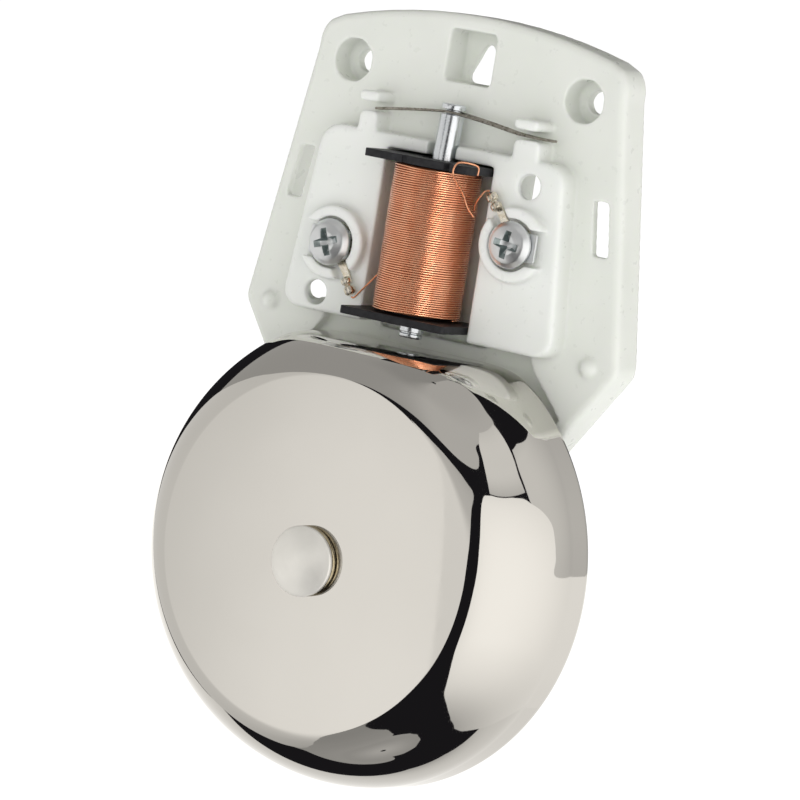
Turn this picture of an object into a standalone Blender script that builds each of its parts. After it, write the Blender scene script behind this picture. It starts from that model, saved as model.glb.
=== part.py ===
"""A small electromechanical bell: a moulded wall plate, a coil whose striker rod hangs on a wire
spring, two screw terminals, and a polished gong with a flat that the rod strikes from above.

Run it with: blender --background --python part.py
Units are metres. +X is to the right, +Z is up, and the bell faces -Y. The wall plane is y = 0, and
z = 0 lies on the centre line, 34 mm below the two fixing holes. Heights called "out" are measured
from the plate's front skin towards the viewer."""

import math

import bmesh
import bpy
from mathutils import Matrix, Vector

MM = 0.001
GAP = 0.2 * MM

# The plate
PLATE_DEPTH = 6.5 * MM
PLATE_WALL = 1.6 * MM
PLATE_EDGE = 1.1 * MM
PLATE_TOP = 44.4 * MM
PLATE_SHOULDER = (29.3 * MM, 36.0 * MM)
PLATE_WIDEST = (35.9 * MM, -7.4 * MM)
PLATE_TIP_RADIUS = 9.0 * MM
FIXING_HOLE = (22.0 * MM, 34.0 * MM)
FIXING_HOLE_RADIUS = 1.8 * MM
COUNTERBORE_RADIUS = 3.5 * MM
POCKET_DEPTH = 4.5 * MM
KEY_POCKET_DEPTH = 5.6 * MM

# The raised bed round the coil and the terminals
BED_OUT = 4.4 * MM
BED_TOP = 23.6 * MM
BED_FOOT = -6.9 * MM
WELL_HALF_WIDTH = 10.2 * MM
WELL_TOP = 21.4 * MM
WELL_FLOOR = -3.7 * MM
TRAY_FLOOR = -2.2 * MM
COLLAR_RADIUS = 6.0 * MM
COLLAR_BORE = 4.2 * MM
COLLAR_OUT = 6.6 * MM
NUT_PANEL_OUT = 1.2 * MM

# The terminals: the left one sits lower, and its tag leaves downwards
TERMINAL_X = 16.7 * MM
TERMINAL_Z = {"left": 4.7 * MM, "right": 10.0 * MM}
TAG_ANGLE = {"left": math.radians(-57), "right": math.radians(127)}
TAG_THICK = 0.5 * MM
CLAMP_THICK = 0.6 * MM
SCREW_RADIUS = 1.95 * MM
SCREW_HEAD_RADIUS = 3.9 * MM
SCREW_HEAD_HEIGHT = 2.0 * MM
SCREW_LENGTH = 9.4 * MM
NUT_SIDE = 7.0 * MM
NUT_THICK = 2.2 * MM

# The coil and its striker
COIL_OUT = 4.0 * MM
COIL_BORE = 3.0 * MM
CORE_RADIUS = 4.0 * MM
WINDING_RADIUS = 7.2 * MM
FLANGE_HALF_WIDTH = 9.9 * MM
FLANGE_HALF_DEPTH = 7.35 * MM
FLANGE_THICK = 1.25 * MM
COIL_FOOT = -5.65 * MM
COIL_HEAD = 21.05 * MM
WINDING_MARGIN = 0.3 * MM
STRIKER_RADIUS = 1.95 * MM
STRIKER_OUT = 3.5 * MM
STRIKER_FOOT = -7.95 * MM
STRIKER_HEAD = 30.0 * MM
STRIKER_PIVOT_Z = 11.0 * MM
STRIKER_LEAN_BACK = math.radians(1.6)
STRIKER_LEAN_SIDE = math.radians(1.0)
NECK_Z = 28.7 * MM
NECK_RADIUS = 1.25 * MM
SPRING_WIRE = 0.22 * MM
SPRING_ENDS_Z = 27.1 * MM
LEAD_WIRE = 0.16 * MM

# The gong
GONG_Z = -42.6 * MM
GONG_AXIS_Z = -43.7 * MM
GONG_RADIUS = 38.2 * MM
GONG_FLAT = 33.3 * MM
GONG_FLAT_ROUND = 1.0 * MM
GONG_RIM_OUT = 2.3 * MM
GONG_FRONT_OUT = 24.3 * MM
GONG_CROWN = 0.8 * MM
GONG_FACE_RADIUS = 28.0 * MM
GONG_SHOULDER_OUT = 7.0 * MM
GONG_SHOULDER_POWER = 1.18
GONG_WALL = 0.9 * MM
GONG_BORE = 2.7 * MM
CAP_RADIUS = 5.6 * MM
CAP_RIM = 0.7 * MM
CAP_DOME = 1.7 * MM
CAP_SHANK_RADIUS = 2.4 * MM
CAP_SHANK_LENGTH = 12.0 * MM
WASHER_THICK = 0.7 * MM
INSERT_RADIUS = 3.6 * MM
INSERT_LENGTH = 10.0 * MM
PILLAR_RADIUS = 5.6 * MM
PILLAR_OUT = 21.4 * MM

COLLECTION = "plate_bell"
ROUND_STEPS = 40
FAR = 0.05

PLASTIC = ((0.76, 0.79, 0.75), 0.35, 0.0)
BLACK = ((0.02, 0.02, 0.022), 0.4, 0.0)
COPPER = ((0.80, 0.34, 0.16), 0.3, 1.0)
ZINC = ((0.72, 0.74, 0.76), 0.22, 1.0)
STEEL = ((0.42, 0.40, 0.37), 0.3, 1.0)
TINNED = ((0.74, 0.68, 0.55), 0.3, 1.0)
BRASS = ((0.72, 0.55, 0.28), 0.3, 1.0)
NICKEL = ((0.80, 0.78, 0.74), 0.06, 1.0)


# ---------------------------------------------------------------- scene helpers


def clear_scene():
    for obj in list(bpy.data.objects):
        bpy.data.objects.remove(obj, do_unlink=True)


def new_collection(name, hidden=False):
    group = bpy.data.collections.new(name)
    bpy.context.scene.collection.children.link(group)
    group.hide_render = hidden
    return group


def put_in(obj, group):
    for old in list(obj.users_collection):
        old.objects.unlink(obj)
    group.objects.link(obj)
    return obj


def material_for(obj, look):
    colour, roughness, metallic = look
    material = bpy.data.materials.new(obj.name)
    material.use_nodes = True
    shader = material.node_tree.nodes["Principled BSDF"]
    shader.inputs["Base Color"].default_value = (*colour, 1.0)
    shader.inputs["Roughness"].default_value = roughness
    shader.inputs["Metallic"].default_value = metallic
    obj.data.materials.clear()
    obj.data.materials.append(material)


def y_of(out):
    """World y of a height above the plate's front skin."""
    return -(PLATE_DEPTH + out)


def as_mesh(obj, name):
    """A new mesh object from an evaluated curve or modified mesh, with loose caps welded."""
    bpy.context.view_layer.update()
    graph = bpy.context.evaluated_depsgraph_get()
    mesh = bpy.data.meshes.new_from_object(obj.evaluated_get(graph))
    made = bpy.data.objects.new(name, mesh)
    made.matrix_world = obj.matrix_world.copy()
    bpy.context.scene.collection.objects.link(made)
    edit = bmesh.new()
    edit.from_mesh(mesh)
    bmesh.ops.remove_doubles(edit, verts=edit.verts, dist=1e-6)
    bmesh.ops.recalc_face_normals(edit, faces=edit.faces)
    edit.to_mesh(mesh)
    edit.free()
    bpy.data.objects.remove(obj, do_unlink=True)
    return made


def finish(obj, look, angle=35):
    """Puts a piece among the parts, shades its round faces smooth and gives it its material."""
    put_in(obj, parts)
    obj.data.shade_smooth()
    obj.data.set_sharp_from_angle(angle=math.radians(angle))
    material_for(obj, look)
    return obj


def boolean(target, other, operation):
    modifier = target.modifiers.new(other.name, "BOOLEAN")
    modifier.operation = operation
    modifier.solver = "EXACT"
    modifier.object = other
    put_in(other, cutters)
    other.hide_render = True
    other.display_type = "WIRE"


def join(target, *others):
    for other in others:
        boolean(target, other, "UNION")


def cut(target, *others):
    for other in others:
        boolean(target, other, "DIFFERENCE")


def baked(obj, name):
    """The object with its Booleans applied, as one mesh."""
    made = as_mesh(obj, name)
    return made


# ---------------------------------------------------------------- shape helpers


def arc(centre, radius, start, end, steps):
    """Points on an arc, angles in degrees."""
    points = []
    for i in range(steps + 1):
        angle = math.radians(start + (end - start) * i / steps)
        points.append((centre[0] + radius * math.cos(angle), centre[1] + radius * math.sin(angle)))
    return points


def rounded(corners, steps=5):
    """A closed outline from (x, z, radius) corners, each rounded by an arc."""
    outline = []
    count = len(corners)
    for i, (x, z, radius) in enumerate(corners):
        here = Vector((x, z))
        before = (Vector(corners[i - 1][:2]) - here).normalized()
        after = (Vector(corners[(i + 1) % count][:2]) - here).normalized()
        if radius <= 0:
            outline.append((x, z))
            continue
        half = before.angle(after) / 2
        reach = radius / math.tan(half)
        centre = here + (before + after).normalized() * radius / math.sin(half)
        first = here + before * reach - centre
        turn = first.angle_signed(here + after * reach - centre)
        for step in range(steps + 1):
            swing = Matrix.Rotation(-turn * step / steps, 2)
            outline.append(tuple(centre + swing @ first))
    return outline


def box_outline(x0, x1, z0, z1, radius=0.0):
    return rounded([(x0, z0, radius), (x1, z0, radius), (x1, z1, radius), (x0, z1, radius)], 3)


def slab(name, outline, low, high, edge=0.0, inset=0.0, edge_steps=2):
    """A flat outline in the plate's plane, thick from low to high, with rounded edges."""
    curve = bpy.data.curves.new(name, "CURVE")
    curve.dimensions = "2D"
    curve.fill_mode = "BOTH"
    curve.extrude = (high - low) / 2 - edge
    curve.bevel_depth = edge
    curve.bevel_resolution = edge_steps
    curve.offset = -edge - inset
    spline = curve.splines.new("POLY")
    spline.points.add(len(outline) - 1)
    for point, (x, z) in zip(spline.points, outline):
        point.co = (x, z, 0, 1)
    spline.use_cyclic_u = True
    guide = bpy.data.objects.new(name + "_curve", curve)
    guide.rotation_euler = (math.pi / 2, 0, 0)
    guide.location = (0, y_of((low + high) / 2), 0)
    bpy.context.scene.collection.objects.link(guide)
    return as_mesh(guide, name)


def block(name, x0, x1, z0, z1, low, high):
    bpy.ops.mesh.primitive_cube_add(size=1)
    obj = bpy.context.object
    obj.name = name
    obj.location = ((x0 + x1) / 2, y_of((low + high) / 2), (z0 + z1) / 2)
    obj.scale = (x1 - x0, high - low, z1 - z0)
    bpy.ops.object.transform_apply(location=False, rotation=False, scale=True)
    return obj


def peg(name, x, z, radius, low, high, top_radius=None, steps=ROUND_STEPS):
    """A round peg or hole that stands out from the plate."""
    top = radius if top_radius is None else top_radius
    bpy.ops.mesh.primitive_cone_add(
        vertices=steps, radius1=radius, radius2=top, depth=high - low, rotation=(math.pi / 2, 0, 0)
    )
    obj = bpy.context.object
    obj.name = name
    obj.location = (x, y_of((low + high) / 2), z)
    return obj


def turned(name, profile, closed=False, steps=ROUND_STEPS):
    """A turned shape about local Z: (radius, height) points down the outer side."""
    mesh = bpy.data.meshes.new(name)
    edges = [(i, i + 1) for i in range(len(profile) - 1)]
    if closed:
        edges.append((len(profile) - 1, 0))
    mesh.from_pydata([(r, 0, h) for r, h in profile], edges, [])
    obj = bpy.data.objects.new(name, mesh)
    bpy.context.scene.collection.objects.link(obj)
    screw = obj.modifiers.new("turn", "SCREW")
    screw.axis = "Z"
    screw.steps = screw.render_steps = steps
    screw.use_merge_vertices = True
    screw.merge_threshold = 1e-6
    return obj


def facing_out(obj, x, out, z):
    """Turns local +Z towards the viewer and places the piece."""
    obj.rotation_euler = (math.pi / 2, 0, 0)
    obj.location = (x, y_of(out), z)
    return obj


def ring(name, inner, outer, low, high, x, z, steps=ROUND_STEPS):
    """A washer in the plate's plane."""
    edge = min(0.12 * MM, (high - low) / 4)
    profile = [
        (inner, high),
        (outer - edge, high),
        (outer, high - edge),
        (outer, low + edge),
        (outer - edge, low),
        (inner, low),
    ]
    return facing_out(turned(name, profile, closed=True, steps=steps), x, 0, z)


def smooth_path(points, per_span=4):
    """A Catmull-Rom curve through the points."""
    dense = []
    count = len(points)
    for i in range(count - 1):
        p0 = Vector(points[max(i - 1, 0)])
        p1 = Vector(points[i])
        p2 = Vector(points[i + 1])
        p3 = Vector(points[min(i + 2, count - 1)])
        for step in range(per_span):
            t = step / per_span
            dense.append(
                0.5
                * (
                    2 * p1
                    + (p2 - p0) * t
                    + (2 * p0 - 5 * p1 + 4 * p2 - p3) * t**2
                    + (3 * p1 - p0 - 3 * p2 + p3) * t**3
                )
            )
    dense.append(Vector(points[-1]))
    return dense


def wire(name, points, radius, look, parent=None):
    """A round wire through (x, out, z) points."""
    curve = bpy.data.curves.new(name, "CURVE")
    curve.dimensions = "3D"
    curve.bevel_depth = radius
    curve.bevel_resolution = 2
    curve.use_fill_caps = True
    path = smooth_path([(x, y_of(out), z) for x, out, z in points])
    spline = curve.splines.new("POLY")
    spline.points.add(len(path) - 1)
    for point, place in zip(spline.points, path):
        point.co = (*place, 1)
    guide = bpy.data.objects.new(name + "_curve", curve)
    bpy.context.scene.collection.objects.link(guide)
    return finish(as_mesh(guide, name), look, 60)


# ---------------------------------------------------------------- the plate


def plate_outline():
    """The plate seen from the front: an arched top, sides that spread, and a tapering foot."""
    half, shoulder_z = PLATE_SHOULDER
    wide, wide_z = PLATE_WIDEST
    arch_x = 25.4 * MM
    arch_z = 41.0 * MM
    sag = PLATE_TOP - arch_z
    arch_radius = (arch_x**2 + sag**2) / (2 * sag)
    swing = math.degrees(math.asin(arch_x / arch_radius))
    arch = arc((0, PLATE_TOP - arch_radius), arch_radius, 90 + swing, 90 - swing, 12)
    right = [
        (half, shoulder_z, 0),
        (wide, wide_z, 3.0 * MM),
    ]
    corner = arc((half - 4.6 * MM, shoulder_z + 0.4 * MM), 4.6 * MM, 50, 6, 5)
    foot_angle = 35
    tip = arc((0, GONG_AXIS_Z), PLATE_TIP_RADIUS, -foot_angle, -180 + foot_angle, 12)
    side = rounded([(half + 0.05 * MM, shoulder_z - 1 * MM, 0), *right[1:], (*tip[0], 0)], 5)
    half_outline = corner + side[:-1]
    mirrored = [(-x, z) for x, z in reversed(half_outline)]
    return arch + half_outline + tip + mirrored


def bed_outline():
    return rounded(
        [
            (-22.9 * MM, BED_TOP, 3.6 * MM),
            (22.9 * MM, BED_TOP, 3.6 * MM),
            (26.0 * MM, BED_FOOT, 3.0 * MM),
            (-26.0 * MM, BED_FOOT, 3.0 * MM),
        ]
    )


def tray_outline():
    """The shallow tray that gives the gong's rim room below the coil."""
    half = [
        (19.9 * MM, -4.0 * MM),
        (19.9 * MM, -8.0 * MM),
        (21.2 * MM, -10.0 * MM),
        (23.8 * MM, -12.8 * MM),
        (26.8 * MM, -16.2 * MM),
        (12.6 * MM, -36.0 * MM),
    ]
    return half + [(-x, z) for x, z in reversed(half)]


def grow(outline, by):
    """The outline pushed out from its middle by about the given amount."""
    centre = sum((Vector(p) for p in outline), Vector((0, 0))) / len(outline)
    return [tuple(Vector(p) + (Vector(p) - centre).normalized() * by) for p in outline]


def add_coil_well(plate):
    wall = PLATE_WALL
    side = WELL_HALF_WIDTH + wall
    top = WELL_TOP + wall
    join(
        plate,
        slab("tray_body", grow(tray_outline(), wall), TRAY_FLOOR - wall, -0.5 * MM),
        block("well_body", -side, side, BED_FOOT + wall / 2, top, -PLATE_DEPTH, BED_OUT - 1 * MM),
        block("well_foot", -side, side, BED_FOOT - wall, 0, -PLATE_DEPTH, TRAY_FLOOR - 0.4 * MM),
    )
    foot = BED_FOOT - 0.8 * MM
    cut(
        plate,
        slab("tray_space", tray_outline(), TRAY_FLOOR, 0.5 * MM),
        block("well_space", -WELL_HALF_WIDTH, WELL_HALF_WIDTH, foot, WELL_TOP, WELL_FLOOR, FAR),
        block("striker_notch", -2.7 * MM, 2.7 * MM, WELL_TOP - 1 * MM, 30 * MM, 0.5 * MM, FAR),
    )


def add_spring_rests(plate):
    """Two stubs that carry the wire spring from below and two pegs that keep it down."""
    rests = []
    for side, outer in ((-1, 16.4 * MM), (1, 17.9 * MM)):
        x0, x1 = sorted((side * 13.0 * MM, side * outer))
        label = "left" if side < 0 else "right"
        stub = box_outline(x0, x1, 21.0 * MM, 26.6 * MM, 0.9 * MM)
        hood = box_outline(x0, x1 - side * 0.4 * MM, 28.1 * MM, 29.8 * MM, 0.7 * MM)
        rests.append(slab("stub_" + label, stub, -0.8 * MM, BED_OUT, 0.4 * MM))
        rests.append(slab("hood_" + label, hood, -0.8 * MM, BED_OUT + 0.9 * MM, 0.4 * MM))
    join(plate, *rests)


def add_terminal_seats(plate):
    for side, name in ((-1, "left"), (1, "right")):
        x = side * TERMINAL_X
        z = TERMINAL_Z[name]
        collar = slab(
            "collar_" + name,
            arc((x, z), COLLAR_RADIUS, 0, 351, 39),
            BED_OUT - 1.2 * MM,
            COLLAR_OUT,
            0.5 * MM,
        )
        seat = peg("seat_" + name, x, z, 6.0 * MM, -PLATE_DEPTH + 2.0 * MM, BED_OUT - 1 * MM)
        join(plate, collar, seat)
        opening = 2.9 * MM
        tag_way = block(
            "tag_way_" + name, 0, 9 * MM, -1.5 * MM, 1.5 * MM, BED_OUT, COLLAR_OUT + 1 * MM
        )
        tag_way.data.transform(Matrix.Translation((4.5 * MM, 0, 0)))
        tag_way.rotation_euler = (0, -TAG_ANGLE[name], 0)
        tag_way.location = (x, y_of(BED_OUT + (COLLAR_OUT + 1 * MM - BED_OUT) / 2), z)
        x0, x1 = sorted((x, x + side * 9 * MM))
        half_nut = NUT_SIDE / 2 + GAP
        cut(
            plate,
            peg("collar_bore_" + name, x, z, COLLAR_BORE, BED_OUT, FAR),
            block("wire_way_" + name, x0, x1, z - opening, z + opening, BED_OUT, FAR),
            tag_way,
            peg("screw_hole_" + name, x, z, SCREW_RADIUS + GAP, -FAR, FAR, steps=24),
            block(
                "nut_pocket_" + name,
                x - half_nut,
                x + half_nut,
                z - half_nut,
                z + half_nut,
                -FAR,
                NUT_PANEL_OUT,
            ),
        )
    cut(
        plate,
        peg("wire_hole_right", 17.1 * MM, 19.4 * MM, 2.05 * MM, -FAR, FAR, steps=28),
        peg("wire_hole_left", -19.4 * MM, -3.9 * MM, 2.05 * MM, -FAR, FAR, steps=28),
    )


def add_fixings(plate):
    """Counterbored screw holes, the keyhole pocket, clip slots and locating bumps."""
    x_hole, z_hole = FIXING_HOLE
    cup = COUNTERBORE_RADIUS + PLATE_WALL
    join(
        plate,
        peg("cup_left", -x_hole, z_hole, cup, -PLATE_DEPTH, -0.8 * MM),
        peg("cup_right", x_hole, z_hole, cup, -PLATE_DEPTH, -0.8 * MM),
        block("key_cup", -5.9 * MM, 5.9 * MM, 31.9 * MM, 43.2 * MM, -PLATE_DEPTH, -0.8 * MM),
    )
    pocket = box_outline(-4.3 * MM, 4.3 * MM, 33.4 * MM, 41.8 * MM, 0.6 * MM)
    key = rounded(
        [
            (-3.5 * MM, 33.5 * MM, 1.0 * MM),
            (3.5 * MM, 33.5 * MM, 1.0 * MM),
            (0, 40.9 * MM, 0.7 * MM),
        ]
    )
    cutting = [
        slab("key_pocket", pocket, -KEY_POCKET_DEPTH, 1 * MM),
        slab("key_hole", key, -PLATE_DEPTH - 1 * MM, 1 * MM),
    ]
    for side, name in ((-1, "left"), (1, "right")):
        x = side * x_hole
        cutting.append(
            peg("counterbore_" + name, x, z_hole, COUNTERBORE_RADIUS, -POCKET_DEPTH, FAR)
        )
        cutting.append(peg("fixing_hole_" + name, x, z_hole, FIXING_HOLE_RADIUS, -FAR, FAR))
        slot = [
            (side * 26.7 * MM, 19.0 * MM),
            (side * 29.4 * MM, 19.0 * MM),
            (side * 30.8 * MM, 10.4 * MM),
            (side * 28.0 * MM, 10.4 * MM),
        ]
        cutting.append(slab("clip_slot_" + name, slot, -3 * MM, 1 * MM))
    cut(plate, *cutting)
    for side, name in ((-1, "left"), (1, "right")):
        bpy.ops.mesh.primitive_uv_sphere_add(segments=20, ring_count=10, radius=1.7 * MM)
        bump = bpy.context.object
        bump.name = "bump_" + name
        bump.location = (side * 30.6 * MM, y_of(-0.5 * MM), -7.1 * MM)
        join(plate, bump)


def make_plate():
    outline = plate_outline()
    plate = slab("base_shell", outline, -PLATE_DEPTH - 3 * MM, 0, PLATE_EDGE)
    join(plate, slab("bed", bed_outline(), -3 * MM, BED_OUT, 0.8 * MM))
    cut(
        plate,
        block("behind", -FAR, FAR, -2 * FAR, 2 * FAR, -FAR, -PLATE_DEPTH),
        slab("plate_hollow", outline, -PLATE_DEPTH - 5 * MM, -PLATE_WALL, inset=PLATE_WALL),
        slab(
            "bed_hollow",
            bed_outline(),
            -PLATE_DEPTH - 5 * MM,
            BED_OUT - PLATE_WALL,
            inset=PLATE_WALL,
        ),
    )
    add_coil_well(plate)
    add_spring_rests(plate)
    add_terminal_seats(plate)
    add_fixings(plate)
    rib = 0.8 * MM
    join(
        plate,
        block("spine_rib", -rib, rib, -46 * MM, BED_FOOT, -PLATE_DEPTH + 1 * MM, -2.6 * MM),
        peg("pillar", 0, GONG_AXIS_Z, PILLAR_RADIUS + 1.4 * MM, -PLATE_DEPTH, PILLAR_OUT, PILLAR_RADIUS),
    )
    bore_floor = PILLAR_OUT - INSERT_LENGTH - 2 * GAP
    bore = INSERT_RADIUS + GAP
    cut(plate, peg("insert_bore", 0, GONG_AXIS_Z, bore, bore_floor, FAR))
    cut(plate, peg("shank_bore", 0, GONG_AXIS_Z, CAP_SHANK_RADIUS + GAP, 0, FAR))
    return finish(baked(plate, "base_plate"), PLASTIC)


# ---------------------------------------------------------------- the coil


def make_bobbin():
    """A tube between two square flanges."""
    tube_top = COIL_HEAD - 0.3 * MM
    tube_foot = COIL_FOOT + 0.3 * MM
    core = turned(
        "bobbin_tube",
        [(0, tube_top), (CORE_RADIUS, tube_top), (CORE_RADIUS, tube_foot), (0, tube_foot)],
    )
    core.location = (0, y_of(COIL_OUT), 0)
    bobbin = as_mesh(core, "bobbin_core")
    for name, low in (("foot", COIL_FOOT), ("head", COIL_HEAD - FLANGE_THICK)):
        bpy.ops.mesh.primitive_cube_add(size=1)
        flange = bpy.context.object
        flange.name = "flange_" + name
        flange.location = (0, y_of(COIL_OUT), low + FLANGE_THICK / 2)
        flange.scale = (2 * FLANGE_HALF_WIDTH, 2 * FLANGE_HALF_DEPTH, FLANGE_THICK)
        bpy.ops.object.transform_apply(location=False, rotation=False, scale=True)
        bevel = flange.modifiers.new("corners", "BEVEL")
        bevel.width = 0.7 * MM
        bevel.segments = 3
        bevel.limit_method = "WEIGHT"
        weights = flange.data.attributes.new("bevel_weight_edge", "FLOAT", "EDGE")
        for edge, weight in zip(flange.data.edges, weights.data):
            ends = [flange.data.vertices[i].co for i in edge.vertices]
            weight.value = 1.0 if abs(ends[0].z - ends[1].z) > 1e-6 else 0.0
        join(bobbin, flange)
    low = COIL_HEAD - FLANGE_THICK - 1 * MM
    front = COIL_OUT + FLANGE_HALF_DEPTH
    for name, x, width, depth in (("tail", 5.9 * MM, 1.1 * MM, 1.6 * MM), ("spare", -2.1 * MM, 1.0 * MM, 0.6 * MM)):
        notch = block(
            "notch_" + name, x - width / 2, x + width / 2, low, COIL_HEAD + 1 * MM, front - depth, FAR
        )
        cut(bobbin, notch)
    bpy.ops.mesh.primitive_cylinder_add(vertices=ROUND_STEPS, radius=COIL_BORE, depth=0.1)
    bore = bpy.context.object
    bore.name = "bobbin_bore"
    bore.location = (0, y_of(COIL_OUT), 0)
    cut(bobbin, bore)
    return finish(baked(bobbin, "coil_bobbin"), BLACK)


def make_winding():
    foot = COIL_FOOT + FLANGE_THICK + WINDING_MARGIN
    head = COIL_HEAD - FLANGE_THICK - WINDING_MARGIN
    inner = CORE_RADIUS + WINDING_MARGIN
    edge = 0.3 * MM
    profile = [
        (inner, head),
        (WINDING_RADIUS - edge, head),
        (WINDING_RADIUS, head - edge),
        (WINDING_RADIUS, foot + edge),
        (WINDING_RADIUS - edge, foot),
        (inner, foot),
    ]
    winding = turned("winding_turns", profile, closed=True, steps=48)
    winding.location = (0, y_of(COIL_OUT), 0)
    return finish(as_mesh(winding, "coil_winding"), COPPER)


def make_coil_wires():
    """The start of the winding, tied round the top flange, and its two ends at the tags."""
    front = COIL_OUT + FLANGE_HALF_DEPTH
    top = COIL_HEAD + LEAD_WIRE + GAP
    under = COIL_HEAD - FLANGE_THICK
    tail = [
        (10.35 * MM, front - 2.35 * MM, under + 0.1 * MM),
        (10.35 * MM, front - 2.15 * MM, top - 0.2 * MM),
        (9.6 * MM, front - 0.75 * MM, top + 0.2 * MM),
        (8.3 * MM, front + 0.35 * MM, top + 0.1 * MM),
        (7.6 * MM, front + 0.45 * MM, COIL_HEAD - 0.45 * MM),
        (7.5 * MM, front + 0.3 * MM, under - 0.3 * MM),
        (7.35 * MM, front - 1.15 * MM, under - 1.3 * MM),
        (7.2 * MM, front - 3.95 * MM, under - 3.2 * MM),
        (7.7 * MM, front - 5.15 * MM, under - 5.3 * MM),
        (8.5 * MM, front - 6.15 * MM, under - 6.7 * MM),
    ]
    wire("winding_tail", tail, LEAD_WIRE, COPPER)
    left = [
        (-11.5 * MM, 5.6 * MM, -3.35 * MM),
        (-10.9 * MM, 5.7 * MM, -3.3 * MM),
        (-9.9 * MM, 5.7 * MM, -2.1 * MM),
        (-8.7 * MM, 5.3 * MM, -0.4 * MM),
        (-7.9 * MM, 4.8 * MM, 0.9 * MM),
        (-7.4 * MM, 4.4 * MM, 1.9 * MM),
    ]
    wire("lead_wire_left", left, LEAD_WIRE, COPPER)
    right = [
        (10.9 * MM, 5.6 * MM, 17.65 * MM),
        (10.3 * MM, 5.8 * MM, 17.5 * MM),
        (9.3 * MM, 5.6 * MM, 16.3 * MM),
        (8.2 * MM, 4.6 * MM, 15.2 * MM),
        (7.5 * MM, 3.6 * MM, 14.0 * MM),
    ]
    wire("lead_wire_right", right, LEAD_WIRE, COPPER)


def make_striker():
    """The plunger rod, hung a little askew, on an empty whose Z is the line that it slides on."""
    line = bpy.data.objects.new("striker_line", None)
    line.location = (0, y_of(STRIKER_OUT), STRIKER_PIVOT_Z)
    line.rotation_euler = (-STRIKER_LEAN_BACK, STRIKER_LEAN_SIDE, 0)
    parts.objects.link(line)
    head = STRIKER_HEAD - STRIKER_PIVOT_Z
    foot = STRIKER_FOOT - STRIKER_PIVOT_Z
    neck = NECK_Z - STRIKER_PIVOT_Z
    rad = STRIKER_RADIUS
    edge = 0.25 * MM
    groove = 0.42 * MM
    lip = foot + 0.7 * MM
    profile = [
        (0, head),
        (rad - edge, head),
        (rad, head - edge),
        (rad, neck + groove),
        (NECK_RADIUS, neck + groove),
        (NECK_RADIUS, neck - groove),
        (rad, neck - groove),
        (rad, lip + 0.25 * MM),
        (rad - 0.25 * MM, lip + 0.15 * MM),
        (rad - 0.25 * MM, lip),
        (rad - 0.05 * MM, lip - 0.1 * MM),
        (rad - 0.05 * MM, foot + edge),
        (rad - 0.5 * MM, foot),
        (0, foot),
    ]
    striker = as_mesh(turned("striker_rod", profile, steps=36), "striker")
    striker.parent = line
    return finish(striker, ZINC)


def make_suspension_spring():
    """A hairpin of wire: it lies on the stubs, and its legs grip the striker's neck."""
    neck_x = math.tan(STRIKER_LEAN_SIDE) * (NECK_Z - STRIKER_PIVOT_Z)
    neck_out = STRIKER_OUT - math.tan(STRIKER_LEAN_BACK) * (NECK_Z - STRIKER_PIVOT_Z)
    reach = NECK_RADIUS + SPRING_WIRE + 0.1 * MM
    rise = NECK_Z - SPRING_ENDS_Z
    left_end = -13.9 * MM
    right_end = 20.0 * MM

    def height(x):
        away = abs(x - neck_x) / (14.0 * MM)
        return NECK_Z - rise * min(away, 1.0) ** 1.3

    front = []
    back = []
    for share in (1.0, 0.72, 0.45, 0.2, 0.0):
        x = neck_x + (left_end - neck_x + 0.4 * MM) * share
        spread = reach * (0.45 + 0.55 * (1 - share) ** 0.5)
        front.append((x, neck_out + spread, height(x)))
        back.append((x, neck_out - spread, height(x)))
    bend = (left_end, neck_out, height(left_end))
    right_front = []
    right_back = []
    for share in (0.2, 0.42, 0.64):
        x = neck_x + (right_end - neck_x) * share
        spread = reach * (1 - 0.62 * share)
        right_front.append((x, neck_out + spread, height(x)))
        right_back.append((x, neck_out - spread, height(x)))
    right_front.append((right_end - 3.2 * MM, neck_out + 0.62 * MM, SPRING_ENDS_Z))
    right_back.append((right_end - 3.2 * MM, neck_out - 0.62 * MM, SPRING_ENDS_Z))
    right_front.append((right_end, neck_out + 0.6 * MM, SPRING_ENDS_Z))
    right_back.append((right_end - 0.3 * MM, neck_out - 0.6 * MM, SPRING_ENDS_Z))
    path = list(reversed(right_front)) + list(reversed(front)) + [bend] + back + right_back
    return wire("suspension_spring", path, SPRING_WIRE, STEEL)


# ---------------------------------------------------------------- the terminals


def make_screw(name, x, z, underside, twist):
    """A pan head screw with a cross recess."""
    rad = SCREW_HEAD_RADIUS
    tall = SCREW_HEAD_HEIGHT
    tip = 0.5 * MM
    profile = [
        (0, tall),
        (0.45 * rad, tall * 0.97),
        (0.75 * rad, tall * 0.84),
        (0.93 * rad, tall * 0.62),
        (rad, tall * 0.32),
        (0.985 * rad, 0.08 * tall),
        (0.93 * rad, 0),
        (SCREW_RADIUS, 0),
        (SCREW_RADIUS, tip - SCREW_LENGTH),
        (SCREW_RADIUS - tip, -SCREW_LENGTH),
        (0, -SCREW_LENGTH),
    ]
    screw = as_mesh(turned(name + "_blank", profile, steps=32), name + "_turned")
    for i in range(2):
        bpy.ops.mesh.primitive_cone_add(
            vertices=4, radius1=0.5 * MM, radius2=1.6 * MM, depth=1.7 * MM
        )
        wing = bpy.context.object
        wing.name = f"{name}_recess_{i}"
        wing.data.transform(Matrix.Rotation(math.pi / 4, 4, "Z"))
        wing.data.transform(Matrix.Diagonal((2.05, 0.42, 1, 1)))
        wing.data.transform(Matrix.Translation((0, 0, tall - 0.85 * MM + 0.05 * MM)))
        wing.data.transform(Matrix.Rotation(twist + i * math.pi / 2, 4, "Z"))
        cut(screw, wing)
    screw = baked(screw, name)
    facing_out(screw, x, underside, z)
    return finish(screw, ZINC)


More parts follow.
